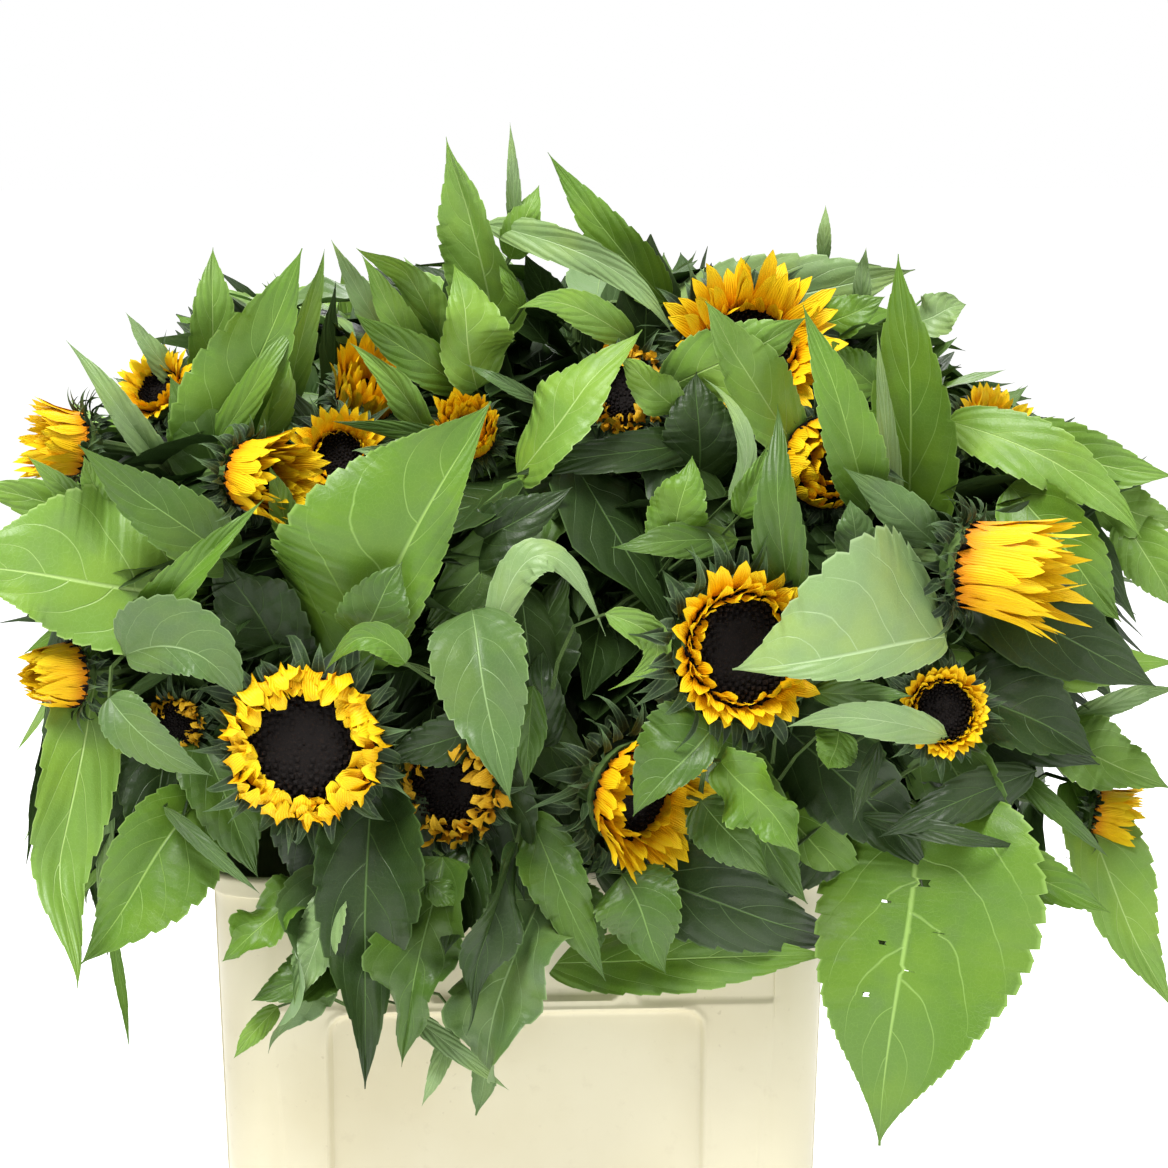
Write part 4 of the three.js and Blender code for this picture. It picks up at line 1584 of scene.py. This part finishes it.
# Each leaf's green is dealt for how lit it looks as well as for its tone, so the greens carry painted light
# and shade.
UPPER_LEFT_LEAVES = (
    Leaf(-218, 660, -267, 725, 24, PALE_WITH_GLARE, fold=35),
    Leaf(-206, 705, -232, 741, 18, PALE_WITH_GLARE, -70),
    Leaf(-182, 705, -179, 779, 40, SUN, -70, node="leaf_left_upright"),
    Leaf(-178, 662, -128, 778, 62, BRIGHT, -20, hidden=0.15, skew=0.22, node="leaf_left_tall"),
    Leaf(-178, 640, -205, 705, 52, MID, -25),
    Leaf(-176, 670, -130, 740, 22, BRIGHT, -10),
    Leaf(-152, 665, -133, 728, 30, SUN, -30, fold=30),
    Leaf(-134, 705, -116, 778, 22, SUN, -40, fold=35),
    Leaf(-81, 727, -111, 783, 22, PALE_WITH_GLARE),
    Leaf(-64, 721, -95, 773, 26, SUN),
    Leaf(-55, 734, -83, 784, 28, SUN, bow=-0.08),
    Leaf(-50, 706, -98, 740, 30, BRIGHT),
    Leaf(-62, 672, -102, 722, 24, SUN, bow=-0.1),
    Leaf(-20, 748, -39, 843, 64, SUN, -80, hidden=0.2, skew=-0.12, node="leaf_top_peak"),
    Leaf(-28, 703, -38, 769, 50, SUN, -45, hidden=0.12, skew=-0.22),
    Leaf(-3, 750, -13, 769, 12, BRIGHT, -60),
    Leaf(-4, 800, -6, 851, 10, PALE_WITH_GLARE, -90),
    Leaf(-2, 783, 10, 815, 24, SUN, -95),
    Leaf(80, 754, 16, 834, 34, BRIGHT, -90, bow=0.03, hidden=0.1, roll=4, node="leaf_top_second"),
    Leaf(8, 775, 90, 726, 26, PALE_WITH_GLARE, -70, bow=0.16),
    Leaf(48, 728, -2, 742, 26, SUN, -50, bow=-0.2),
    Leaf(4, 651, 66, 735, 58, SUN, 5, hidden=0.1, skew=0.18),
    Leaf(85, 660, -8, 647, 28, DEEP_SHADE, 5),
    Leaf(84, 690, 58, 715, 28, SUN, 0),
    Leaf(-94, 546, -20, 689, 100, BRIGHT, 60, hidden=0.14, skew=0.5, fold=16, roll=-5),
    Leaf(-139, 612, -149, 651, 19, SUN, hidden=0.1),
    Leaf(-95, 551, -71, 592, 46, MID, 72, hidden=0.1),
    Leaf(-230, 551, -153, 631, 34, BRIGHT, 78, hidden=0.04, fold=34),
    Leaf(-180, 598, -262, 662, 44, MID, 50, hidden=0.12),
    Leaf(-250, 631, -258, 657, 18, SUN),
    Leaf(-262, 631, -290, 657, 18, SUN),
    Leaf(-214, 577, -341, 591, 104, SUN, 50, **REACHING, node="leaf_left_reach"),
    Leaf(-262, 625, -325, 640, 30, SUN, 20),
    Leaf(-31, 600, 30, 637, 42, DEEP_SHADE, 20),
    Leaf(-51, 667, -112, 677, 14, MID),
    Leaf(-60, 662, -100, 654, 16, PALE_WITH_GLARE),
    Leaf(0, 693, -33, 710, 10, BLUE),
    Leaf(-150, 545, -180, 600, 60, DEEP_SHADE, 30),
    Leaf(-233, 536, -166, 507, 50, BLUE, 84, bow=0.22, hidden=0.05, skew=0.3, fold=22, roll=4),
    Leaf(-246, 510, -187, 462, 34, BLUE, 93, bow=-0.06, hidden=0.02),
    Leaf(-70, 531, -118, 530, 22, BRIGHT, 85, bow=-0.33),
    Leaf(-31, 560, -8, 446, 62, BLUE, 92, hidden=0.02, back=0.3, fold=18, roll=3, ruffle=0.2),
    Leaf(-35, 525, -30, 562, 26, DEEP_SHADE, 50),
    Leaf(5, 500, 0, 455, 22, MID, 80),
    Leaf(12, 495, 12, 540, 30, DEEP_SHADE, 40),
    Leaf(-18, 545, 50, 546, 26, PALE_WITH_GLARE, 60, bow=0.75),
    Leaf(15, 520, 15, 590, 60, DEEP_SHADE, 10),
    Leaf(50, 560, 50, 513, 22, SUN, 70, bow=0.66),
    Leaf(-30, 490, -85, 470, 35, DEEP_SHADE, 50),
)
UPPER_RIGHT_LEAVES = (
    Leaf(110, 735, 233, 766, 70, PALE_WITH_GLARE, -130, roll=-12),
    Leaf(179, 777, 179, 803, 10, PALE_WITH_GLARE, -130),
    Leaf(201, 750, 203, 778, 14, PALE_WITH_GLARE, -110),
    Leaf(232, 628, 229, 773, 62, BRIGHT, -20, node="leaf_right_upright"),
    Leaf(222, 632, 212, 728, 14, PALE_WITH_GLARE, -10),
    Leaf(243, 737, 264, 745, 30, PALE_WITH_GLARE, -60),
    Leaf(185, 735, 216, 748, 30, BRIGHT, -80),
    Leaf(205, 700, 182, 722, 30, BRIGHT, -60),
    Leaf(206, 628, 170, 746, 40, BRIGHT, 42, hidden=0.05, fold=26),
    Leaf(150, 680, 105, 743, 50, SUN, 10),
    Leaf(108, 705, 170, 736, 46, SUN, 0),
    Leaf(105, 655, 105, 705, 50, DEEP_SHADE, -5),
    Leaf(123, 628, 106, 701, 14, PALE_WITH_GLARE, 40, bow=-0.25),
    Leaf(92, 610, 101, 655, 40, BRIGHT, 45, cup=0.35),
    Leaf(109, 604, 53, 601, 24, MID, 50),
    Leaf(132, 622, 147, 661, 22, BRIGHT, 50, hidden=0.1),
    Leaf(161, 566, 146, 686, 36, MID, 66, hidden=0.1),
    Leaf(252, 541, 126, 526, 88, PALE_WITH_GLARE, 98, hidden=0.03, skew=-0.6, fold=12, roll=4, back=0.3),
    Leaf(200, 600, 197, 628, 26, BLUE, 50),
    Leaf(246, 604, 193, 648, 30, BLUE, 48, hidden=0.05),
    Leaf(312, 614, 363, 552, 52, BRIGHT, 15),
    Leaf(285, 655, 372, 602, 42, SUN, 0, bow=0.14),
    Leaf(305, 655, 392, 640, 48, SUN, -30, node="leaf_right_reach"),
    Leaf(350, 625, 400, 610, 36, SUN, -40),
    Leaf(372, 600, 395, 560, 40, SUN, -30),
    Leaf(266, 535, 400, 525, 60, SUN, 20),
    Leaf(283, 505, 350, 470, 70, DEEP_SHADE, 40),
    Leaf(335, 478, 395, 445, 50, SUN, 0),
    Leaf(352, 500, 400, 515, 16, PALE_WITH_GLARE, -10),
)
LOWER_RIGHT_LEAVES = (
    Leaf(232, 484, 160, 490, 24, PALE_WITH_GLARE, 100, bow=-0.12),
    Leaf(190, 480, 185, 463, 34, BRIGHT, 70),
    Leaf(190, 510, 236, 508, 18, MID, 88),
    Leaf(112, 487, 67, 435, 48, MID, 92, hidden=0.1, skew=-0.45, roll=4),
    Leaf(125, 464, 172, 412, 48, BRIGHT, 88, hidden=0.1, ruffle=0.35),
    Leaf(112, 440, 150, 395, 40, MID, 70, hidden=0.1),
    Leaf(212, 466, 200, 428, 12, DEEP_SHADE, 80),
    Leaf(232, 428, 310, 410, 14, DEEP_SHADE, 80),
    Leaf(287, 450, 216, 421, 30, DEEP_SHADE, 70),
    Leaf(238, 432, 223, 223, 144, BRIGHT, 60, **EATEN, node="leaf_low_right"),
    Leaf(350, 415, 398, 308, 60, SUN, 10, node="leaf_far_right"),
    Leaf(298, 403, 361, 370, 36, BRIGHT, 50),
    Leaf(310, 450, 360, 406, 16, MID, 45),
    Leaf(85, 392, 203, 352, 60, DEEP_SHADE, 55),
    Leaf(60, 345, 190, 345, 45, BRIGHT, 45),
    Leaf(62, 396, 88, 337, 56, MID, 66, hidden=0.05, **LIMP),
    Leaf(8, 425, 50, 332, 40, MID, 68, hidden=0.1, **LIMP),
    Leaf(30, 380, 45, 345, 40, MID, 50),
    Leaf(175, 475, 250, 400, 64, DEEP_SHADE, 45),
    Leaf(120, 460, 175, 380, 66, MID, 40),
    Leaf(255, 475, 300, 395, 64, MID, 40),
    Leaf(205, 450, 150, 375, 60, DEEP_SHADE, 25),
    Leaf(150, 445, 215, 372, 56, BRIGHT, 30),
    Leaf(230, 500, 290, 440, 60, DEEP_SHADE, 25),
)
LOWER_LEFT_LEAVES = (
    Leaf(-262, 492, -293, 340, 55, SUN, 60, node="leaf_low_left"),
    Leaf(-203, 438, -268, 348, 76, BRIGHT, 40, hidden=0.12, skew=0.2, node="leaf_low_left_inner"),
    Leaf(-247, 357, -238, 293, 8, BRIGHT, 20),
    Leaf(-250, 445, -254, 382, 14, PALE_WITH_GLARE, 20),
    Leaf(-201, 430, -160, 389, 11, BLUE, 60),
    Leaf(-142, 382, -184, 350, 40, BRIGHT, 62, **LIMP),
    Leaf(-113, 350, -165, 322, 42, MID, 66, **LIMP),
    Leaf(-122, 392, -146, 287, 66, BLUE, 64, hidden=0.1, **LIMP),
    Leaf(-157, 311, -178, 288, 16, SUN, 50),
    Leaf(-118, 380, -138, 318, 36, PALE_WITH_GLARE, 78, hidden=0.1, **LIMP),
    Leaf(-92, 440, -98, 267, 74, DEEP_SHADE, 76, hidden=0.1, **LIMP, node="leaf_front_drape"),
    Leaf(-52, 400, -76, 280, 56, MID, 66, hidden=0.1, **LIMP),
    Leaf(-60, 305, -9, 264, 14, PALE_WITH_GLARE, 55),
    Leaf(-46, 295, -62, 254, 15, PALE_WITH_GLARE, 45),
    Leaf(-52, 392, -38, 380, 18, MID, 75),
    Leaf(8, 384, -37, 250, 84, BLUE, 58, hidden=0.12, **LIMP, node="leaf_middle_drape"),
    Leaf(-10, 400, -44, 303, 34, DEEP_SHADE, 84, hidden=0.2, **LIMP),
    Leaf(-35, 400, -45, 350, 50, DEEP_SHADE, 60),
    Leaf(-190, 475, -160, 400, 52, MID, 35),
    Leaf(-215, 470, -228, 395, 52, DEEP_SHADE, 25),
    Leaf(-90, 445, -60, 370, 60, DEEP_SHADE, 40),
    Leaf(-20, 470, 5, 385, 60, DEEP_SHADE, 40),
    Leaf(-130, 440, -115, 365, 50, DEEP_SHADE, 40),
)
FRONT_LEAVES = UPPER_LEFT_LEAVES + UPPER_RIGHT_LEAVES + LOWER_RIGHT_LEAVES + LOWER_LEFT_LEAVES


class SightGrid:
    """A grid of square cells on the front elevation, with the furthest forward place in each."""

    empty = -1e6

    def __init__(self, cell: float = 9.0) -> None:
        """Starts with nothing in any cell.

        Args:
            cell: the side of a cell, in millimetres.
        """
        self.cell = cell
        self.origin = np.array([-400.0, 150.0])
        self.forward = np.full((int(900 / cell), int(760 / cell)), self.empty)

    def cells(self, read: Array) -> tuple[Array, Array]:
        """Column and row of places read off the elevation."""
        index = np.floor((read[:, :2] - self.origin) / self.cell).astype(int)
        return tuple(np.clip(index, 0, np.array(self.forward.shape) - 1).T)

    def add(self, points: Array) -> None:
        """Keeps the points that stand furthest forward."""
        read = ELEVATION.read(points)
        np.maximum.at(self.forward, self.cells(read), read[:, 2])

    def ahead(self, points: Array) -> Array:
        """How far each point stands forward of what its cell holds."""
        read = ELEVATION.read(points)
        return read[:, 2] - self.forward[self.cells(read)]

    def covers(self, points: Array) -> Array:
        """Whether each point's cell holds anything."""
        return self.forward[self.cells(ELEVATION.read(points))] > self.empty / 10.0


def node_samples(name: str, count: int, rng: np.random.Generator) -> tuple[Array, Array]:
    """Spreads points evenly over a frame node's surface.

    Args:
        name: the node's name.
        count: how many points.
        rng: the source of their places.

    Returns:
        The points, and the surface's outward direction at each, (count, 3).
    """
    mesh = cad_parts[name].data
    mesh.calc_loop_triangles()
    corners = np.empty(len(mesh.loop_triangles) * 3, np.int32)
    mesh.loop_triangles.foreach_get("vertices", corners)
    places = np.empty(len(mesh.vertices) * 3, np.float32)
    mesh.vertices.foreach_get("co", places)
    triangles = places.reshape(-1, 3).astype(float)[corners.reshape(-1, 3)]
    cross = np.cross(triangles[:, 1] - triangles[:, 0], triangles[:, 2] - triangles[:, 0])
    area = np.linalg.norm(cross, axis=1)
    chosen = rng.choice(len(triangles), count, p=area / area.sum())
    first, second = rng.random((2, count, 1))
    over = first + second > 1.0
    first, second = np.where(over, 1.0 - first, first), np.where(over, 1.0 - second, second)
    a, b, c = np.moveaxis(triangles[chosen], 1, 0)
    return a + (b - a) * first + (c - a) * second, unit(cross[chosen])


# Greens for filling leaves that don't show from the front, dealt at random, painted light and shade among
# them.
GREEN_SHARES = (0.26, 0.30, 0.14, 0.14, 0.06, 0.10)


@dataclass
class Foliage:
    """Boughs, leaf stalks and leaves: what stands for the masses of foliage.

    Boughs grow from the stems into each mass, leaves spread over the mass with their tips hanging
    low down and rising at the top, and a stalk joins each leaf to the nearest bough.
    """

    heads: FlowerHeads
    stems: Stems
    per_area: float = 1200.0
    boughs_each: int = 4
    bough_steps: int = 14
    stalk_limit: float = 0.06
    stalk_steps: int = 4
    deep_share: float = 0.3
    slack: float = 0.022
    gap: float = 14.0
    middle: tuple[float, float] = (0.035, 0.0)
    bucket_clear: tuple[float, float, float] = (0.193, 0.144, 0.404)
    made: list[bpy.types.Object] = field(default_factory=list)

    def __post_init__(self) -> None:
        """Sorts the frame's nodes and prepares the grids and the leaves' materials."""
        self.rng = np.random.default_rng(SEED + 1)
        self.greens = [LEAF_FINISHES[green].material() for green in Green]
        self.masses = sorted(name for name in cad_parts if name.startswith("foliage"))
        self.centres = {name: self.centre_of(name) for name in self.masses}
        self.batches = {name: Batch() for name in self.masses}
        self.front = SightGrid()
        self.outline = SightGrid()
        self.limbs: list[Array] = []
        self.stalks = Batch()
        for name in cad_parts:
            if not name.startswith(("bucket", "stem")):
                points, _ = node_samples(name, 6000, self.rng)
                self.outline.add(points)
        low, high = np.array(CAD_BOX[0]), np.array(CAD_BOX[1])
        margin = self.slack * (high - low)
        self.low, self.high = low - margin, high + margin

    @staticmethod
    def centre_of(name: str) -> Array:
        """The middle of a node's box."""
        low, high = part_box(name)
        return (np.array(low) + np.array(high)) / 2.0

    def nearest_mass(self, point: Array) -> str:
        """The mass whose middle is nearest to a point."""
        return min(self.masses, key=lambda name: float(np.linalg.norm(self.centres[name] - point)))

    def grow_boughs(self) -> bpy.types.Object:
        """Grows boughs from the stems' necks into every mass.

        Returns:
            The boughs, as one piece.
        """
        batch = Batch()
        necks = np.array(self.stems.necks)
        t = np.linspace(0.0, 1.0, self.bough_steps)
        for name in self.masses:
            points, _ = node_samples(name, self.boughs_each, self.rng)
            for point in points:
                goal = self.centres[name] + (point - self.centres[name]) * 0.55
                neck = necks[np.argmin(np.linalg.norm((necks - goal)[:, :2], axis=1))]
                start = neck + UP * self.rng.uniform(0.0, 0.05)
                rise = UP * 0.35 * np.linalg.norm(goal - start)
                path = bezier([start, start + rise, goal + (start - goal) * 0.2 + UP * 0.02, goal], t)
                add_tube(batch, path, np.linspace(4.0, 2.2, self.bough_steps) * MM, 0, 8)
                self.limbs.append(path[4:])
        piece = batch.build("boughs", [stem_material()], crease=70.0)
        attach(piece, BODY)
        return piece

    def add_stalk(self, base: Array, direction: Array, size: float) -> None:
        """Adds a leaf's stalk: a curve from the nearest limb, or from just behind, to its base.

        Args:
            base: the leaf's base.
            direction: the unit vector along which the leaf starts.
            size: what the stalk's thickness is multiplied by.
        """
        limbs = np.concatenate(self.limbs)
        away = limbs - base
        distance = np.linalg.norm(away, axis=1) + 0.4 * np.maximum(away @ direction, 0.0)
        root = limbs[np.argmin(distance)]
        reach = np.linalg.norm(root - base)
        if reach > self.stalk_limit:
            root = base + (root - base) * (self.stalk_limit / reach)
            reach = self.stalk_limit
        controls = [root, root + UP * 0.1 * reach, base - direction * 0.4 * reach, base]
        path = bezier(controls, np.linspace(0.0, 1.0, self.stalk_steps))
        add_tube(self.stalks, path, np.linspace(1.5, 1.0, self.stalk_steps) * MM * size, 0, 3)

    def add_front_leaves(self) -> None:
        """Adds the leaves laid out on the elevation; those with a node become their own piece."""
        rng = np.random.default_rng(SEED + 2)
        for leaf in FRONT_LEAVES:
            spine, face, held = leaf.carried(rng)
            batch = Batch() if leaf.node else self.batches[self.nearest_mass(spine[len(spine) // 2])]
            slot = list(Green).index(leaf.green)
            t, width = leaf.kind.stations(), leaf.width * MM
            points = add_blade(batch, spine, face, t, width, leaf.kind, held, slot, leaf.holes)
            self.front.add(points)
            self.add_stalk(spine[0], unit(spine[2] - spine[0]), min(1.6, 0.8 + leaf.width / 80.0))
            if leaf.node:
                self.finish_piece(batch, leaf.node + "_blade", leaf.node)

    def add_backing_leaves(self, pitch: float = 46.0) -> int:
        """Adds dark leaves behind the front ones, as painted shade, on a jittered grid inside the crown's
        outline.

        Args:
            pitch: the grid's spacing, in millimetres.

        Returns:
            How many leaves were placed.
        """
        columns, rows = np.arange(-300.0, 400.0, pitch), np.arange(425.0, 800.0, pitch)
        t = SMALL_LEAF.stations()
        placed = 0
        for x, z in itertools.product(columns, rows):
            leaf = self.backing_leaf(x, z, pitch)
            width = leaf.width * MM
            spine = leaf.spine(t)
            face = ELEVATION.towards_eye(spine[len(spine) // 2]) + self.rng.normal(0.0, 0.35, 3)
            side = unit(np.cross(spine[-1] - spine[0], face)) * width / 2.0
            if not self.allowed(np.concatenate([spine, spine[::3] + side, spine[::3] - side])):
                continue
            held = Carriage(fold=self.rng.uniform(5.0, 25.0), phase=self.rng.uniform(0.0, 6.28))
            # Painted shade: backing leaves take the dark green, with the mid green now and then.
            slot = list(Green).index(self.rng.choice([DEEP_SHADE, DEEP_SHADE, MID]))
            batch = self.batches[self.nearest_mass(spine[9])]
            add_blade(batch, spine, face, t, width, SMALL_LEAF, held, slot)
            placed += 1
        return placed

    def backing_leaf(self, x: float, z: float, pitch: float) -> Leaf:
        """Lays out a leaf that hangs low down and rises high up, away from the bunch's middle.

        Args:
            x, z: its place on the elevation's grid.
            pitch: the grid's spacing, in millimetres.

        Returns:
            The leaf.
        """
        rng = self.rng
        x0, z0 = (x, z) + rng.uniform(-0.45, 0.45, 2) * pitch
        slope = np.interp(z0, (430.0, 780.0), (-90.0, 80.0))
        heading = math.radians(slope + rng.normal(0.0, 35.0))
        lean = math.cos(heading) * math.copysign(1.0, x0 - self.middle[0] / MM)
        length = rng.uniform(85.0, 125.0)
        x1, z1 = x0 + lean * length, z0 + math.sin(heading) * length
        forward = forward_guide((z0 + z1) / 2.0) - rng.uniform(50.0, 85.0)
        return Leaf(x0, z0, x1, z1, rng.uniform(40.0, 66.0), DEEP_SHADE, forward)

    def finish_piece(self, batch: Batch, name: str, node: str) -> None:
        """Builds a piece of leaves that stands for a node.

        Args:
            batch: its surfaces.
            name: the piece's name.
            node: the node's name.
        """
        piece = batch.build(name, self.greens, crease=75.0)
        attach(piece, BODY)
        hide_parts(node)
        self.made.append(piece)

    def allowed(self, points: Array) -> bool:
        """Whether a leaf keeps inside the crown's outline and box, and clear of blooms and bucket.

        Args:
            points: points of the leaf, (n, 3), in metres.

        Returns:
            True when all of them do.
        """
        if np.any(points < self.low) or np.any(points > self.high):
            return False
        if not np.all(self.outline.covers(points)):
            return False
        half_x, half_y, top = self.bucket_clear
        if np.any((np.abs(points[:, 0]) < half_x) & (np.abs(points[:, 1]) < half_y) & (points[:, 2] < top)):
            return False
        return all(bloom.keeps_clear(points) for bloom in self.heads.blooms)

    def growth(self, place: Array, normal: Array, share: float) -> tuple[Array, Array]:
        """How a leaf of a mass grows: away from the bunch's middle, hanging low down, rising high up.

        Args:
            place: its place in the mass.
            normal: the mass's outward direction there.
            share: how high it is, from zero at the bucket's rim to one near the crown's top.

        Returns:
            The unit vectors along which it grows and which it faces.
        """
        rng = self.rng
        away = np.array([*(place[:2] - np.array(self.middle)), 0.0])
        out = unit(away + normal * [0.06, 0.06, 0.0])
        slope = np.clip(-70.0 + 130.0 * share, -80.0, 75.0)
        rise = math.radians(slope + rng.normal(0.0, 22.0))
        out = unit(out + np.cross(UP, out) * rng.normal(0.0, 0.5))
        direction = math.cos(rise) * out + math.sin(rise) * UP
        face = -math.sin(rise) * out + math.cos(rise) * UP
        if rise > 0.5 and rng.random() < 0.5:
            face = -face
        return direction, turned(face, direction, rng.normal(0.0, 0.35))

    def behind_front(self, spine: Array) -> Array | None:
        """Moves a midrib back, along the line of sight, until it clears the front leaves.

        Args:
            spine: the midrib's points.

        Returns:
            The midrib, or nothing where the move would be too long.
        """
        covered = self.front.covers(spine)
        if not np.any(covered):
            return spine
        over = float(np.max(self.front.ahead(spine)[covered]))
        if over <= 2.0 - self.gap:
            return spine
        shift = (over + self.gap) * MM
        if shift > 0.05:
            return None
        return spine - ELEVATION.towards_eye(spine[0]) * shift

    def fill(self, name: str) -> int:
        """Spreads leaves over a mass.

        Args:
            name: the mass's node.

        Returns:
            How many leaves were placed.
        """
        rng = self.rng
        low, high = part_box(name)
        size = np.array(high) - np.array(low)
        area = 2.0 * (size[0] * size[1] + size[1] * size[2] + size[2] * size[0]) * 0.6
        wanted = int(self.per_area * area)
        placed = 0
        for place, normal in zip(*node_samples(name, wanted * 4, rng)):
            if placed >= wanted:
                break
            deep = rng.random() < self.deep_share
            inset = rng.uniform(0.02, 0.06) if deep else rng.uniform(-0.004, 0.02)
            place = place - normal * inset
            share = (place[2] - 0.42) / 0.36
            direction, face = self.growth(place, normal, share)
            length = rng.uniform(0.085, 0.135) if share < 0.8 else rng.uniform(0.06, 0.10)
            base = place - direction * length * rng.uniform(0.35, 0.6)
            run = direction * length
            droop = -UP * length * 0.35 + run * 0.2
            kind = HIDDEN_LEAF if deep else SMALL_LEAF
            t = kind.stations()
            tip = base + run + droop * rng.uniform(0.0, 0.6)
            controls = [base, base + run / 3.0, base + run * 2.0 / 3.0 + droop * 0.1, tip]
            spine = self.behind_front(bezier(controls, t))
            if spine is None:
                continue
            width = length * rng.uniform(0.46, 0.66)
            read = ELEVATION.read(spine)
            if np.any(read[:, 2] > np.interp(read[:, 1], GUIDE_HEIGHTS, FILLING_GUIDE)):
                continue
            side = np.cross(direction, face) * width / 2.0
            if not self.allowed(np.concatenate([spine, spine + side, spine - side])):
                continue
            held = Carriage(
                fold=rng.uniform(4.0, 24.0),
                cup=rng.uniform(0.0, 0.25),
                ruffle=rng.uniform(0.04, 0.16),
                waves=rng.uniform(1.2, 2.6),
                phase=rng.uniform(0.0, 6.28),
                twist=rng.normal(0.0, 14.0),
            )
            # Painted shade: leaves set deep in the mass, and those far enough forward to show between the
            # front leaves, take the dark green.
            seen = float(np.mean(read[:, 2])) > -70.0
            slot = list(Green).index(DEEP_SHADE) if deep or seen else rng.choice(len(Green), p=GREEN_SHARES)
            add_blade(self.batches[name], spine, face, t, width, kind, held, slot)
            self.add_stalk(spine[0], direction, 1.0)
            placed += 1
        return placed

    def build(self) -> list[bpy.types.Object]:
        """Builds every piece of foliage.

        Returns:
            The boughs, the leaves and the leaf stalks.
        """
        boughs = self.grow_boughs()
        self.add_front_leaves()
        log.info("backing: %d leaves", self.add_backing_leaves())
        for name in self.masses:
            count = self.fill(name)
            batch = self.batches[name]
            log.info("%s: %d leaves filled, %d quads", name, count, batch.faces)
            self.finish_piece(batch, name.replace("foliage", "leaves"), name)
        stalks = self.stalks.build("leaf_stalks", [stem_material()], crease=70.0)
        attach(stalks, BODY)
        return [boughs, *self.made, stalks]


# ---- Studio -----------------------------------------------------------------------------------


@dataclass
class Studio:
    """A pale floor, a white surround, soft lamps, and the camera."""

    target: tuple[float, float, float] = (0.037, -0.140, 0.578)
    heading: float = 3.0
    dip: float = 9.0
    distance: float = 1.8
    lens: float = 92.74
    ambient: float = 0.45
    lit: tuple[float, float, float] = (0.0, 0.0, 0.45)

    def build_floor(self) -> None:
        """Adds the floor: a large flat sheet under the bucket."""
        batch = Batch()
        side = np.linspace(-30.0, 30.0, 3)
        x, y = np.meshgrid(side, side)
        quads, uvs = grid_quads(3, 3)
        batch.add(np.stack([x.ravel(), y.ravel(), np.full(9, -0.0004)], 1), quads, uvs)
        batch.build("floor", [floor_material()])

    def build_camera(self) -> None:
        """Adds the camera, which looks along its heading and slightly down at the target."""
        heading, dip = math.radians(self.heading), math.radians(self.dip)
        level = np.array([math.sin(heading), math.cos(heading), 0.0])
        ahead = level * math.cos(dip) - UP * math.sin(dip)
        data = bpy.data.cameras.new("camera")
        data.lens = self.lens
        data.sensor_width = 36.0
        camera = bpy.data.objects.new("camera", data)
        camera.location = np.array(self.target) - ahead * self.distance
        camera.rotation_euler = (math.pi / 2 - dip, 0.0, -heading)
        bpy.context.scene.collection.objects.link(camera)
        bpy.context.scene.camera = camera

    def add_lamp(self, name: str, place: Sequence[float], size: float, power: float) -> None:
        """Adds a square soft lamp that faces the bucket's mouth.

        Args:
            name: the lamp's name.
            place: where it hangs, in metres.
            size: its side, in metres.
            power: its power, in watts.
        """
        data = bpy.data.lights.new(name, "AREA")
        data.size = size
        data.energy = power
        lamp = bpy.data.objects.new(name, data)
        lamp.location = place
        away = np.array(self.lit) - np.array(place)
        flat = math.hypot(away[0], away[1])
        lamp.rotation_euler = (math.pi / 2 + math.atan2(away[2], flat), 0.0, math.atan2(-away[0], away[1]))
        bpy.context.scene.collection.objects.link(lamp)

    def build(self) -> None:
        """Builds the studio; its surround is dimmer as a light than it looks to the eye."""
        scene = bpy.context.scene
        world = bpy.data.worlds.new("surround")
        world.use_nodes = True
        tree = world.node_tree
        background = tree.nodes["Background"]
        background.inputs[0].default_value = (1.0, 1.0, 1.0, 1.0)
        path = tree.nodes.new("ShaderNodeLightPath")
        strength = tree.nodes.new("ShaderNodeMapRange")
        strength.inputs["To Min"].default_value = self.ambient
        strength.inputs["To Max"].default_value = 1.0
        tree.links.new(path.outputs["Is Camera Ray"], strength.inputs["Value"])
        tree.links.new(strength.outputs[0], background.inputs[1])
        scene.world = world
        scene.view_settings.view_transform = "Standard"
        self.build_floor()
        self.build_camera()
        self.add_lamp("key_lamp", (-0.8, -1.2, 2.8), 1.1, 105.0)
        self.add_lamp("fill_lamp", (1.9, -1.6, 1.5), 1.6, 14.0)
        self.add_lamp("back_lamp", (0.5, 2.2, 2.4), 1.6, 40.0)


def main() -> None:
    """Builds every sub-assembly in order and reports the pieces."""
    logging.basicConfig(level=logging.INFO, format="%(message)s")
    Studio().build()
    heads = FlowerHeads()
    stems = Stems(heads)
    made = [Bucket().build(), *heads.build(), stems.build()]
    made += Foliage(heads, stems).build()
    for piece in made:
        log.info("%s: %d faces", piece.name, len(piece.data.polygons))
    shown = [name for name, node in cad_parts.items() if not node.hide_render]
    log.info("nodes with nothing in their place: %s", shown)


if __name__ == "__main__":
    main()
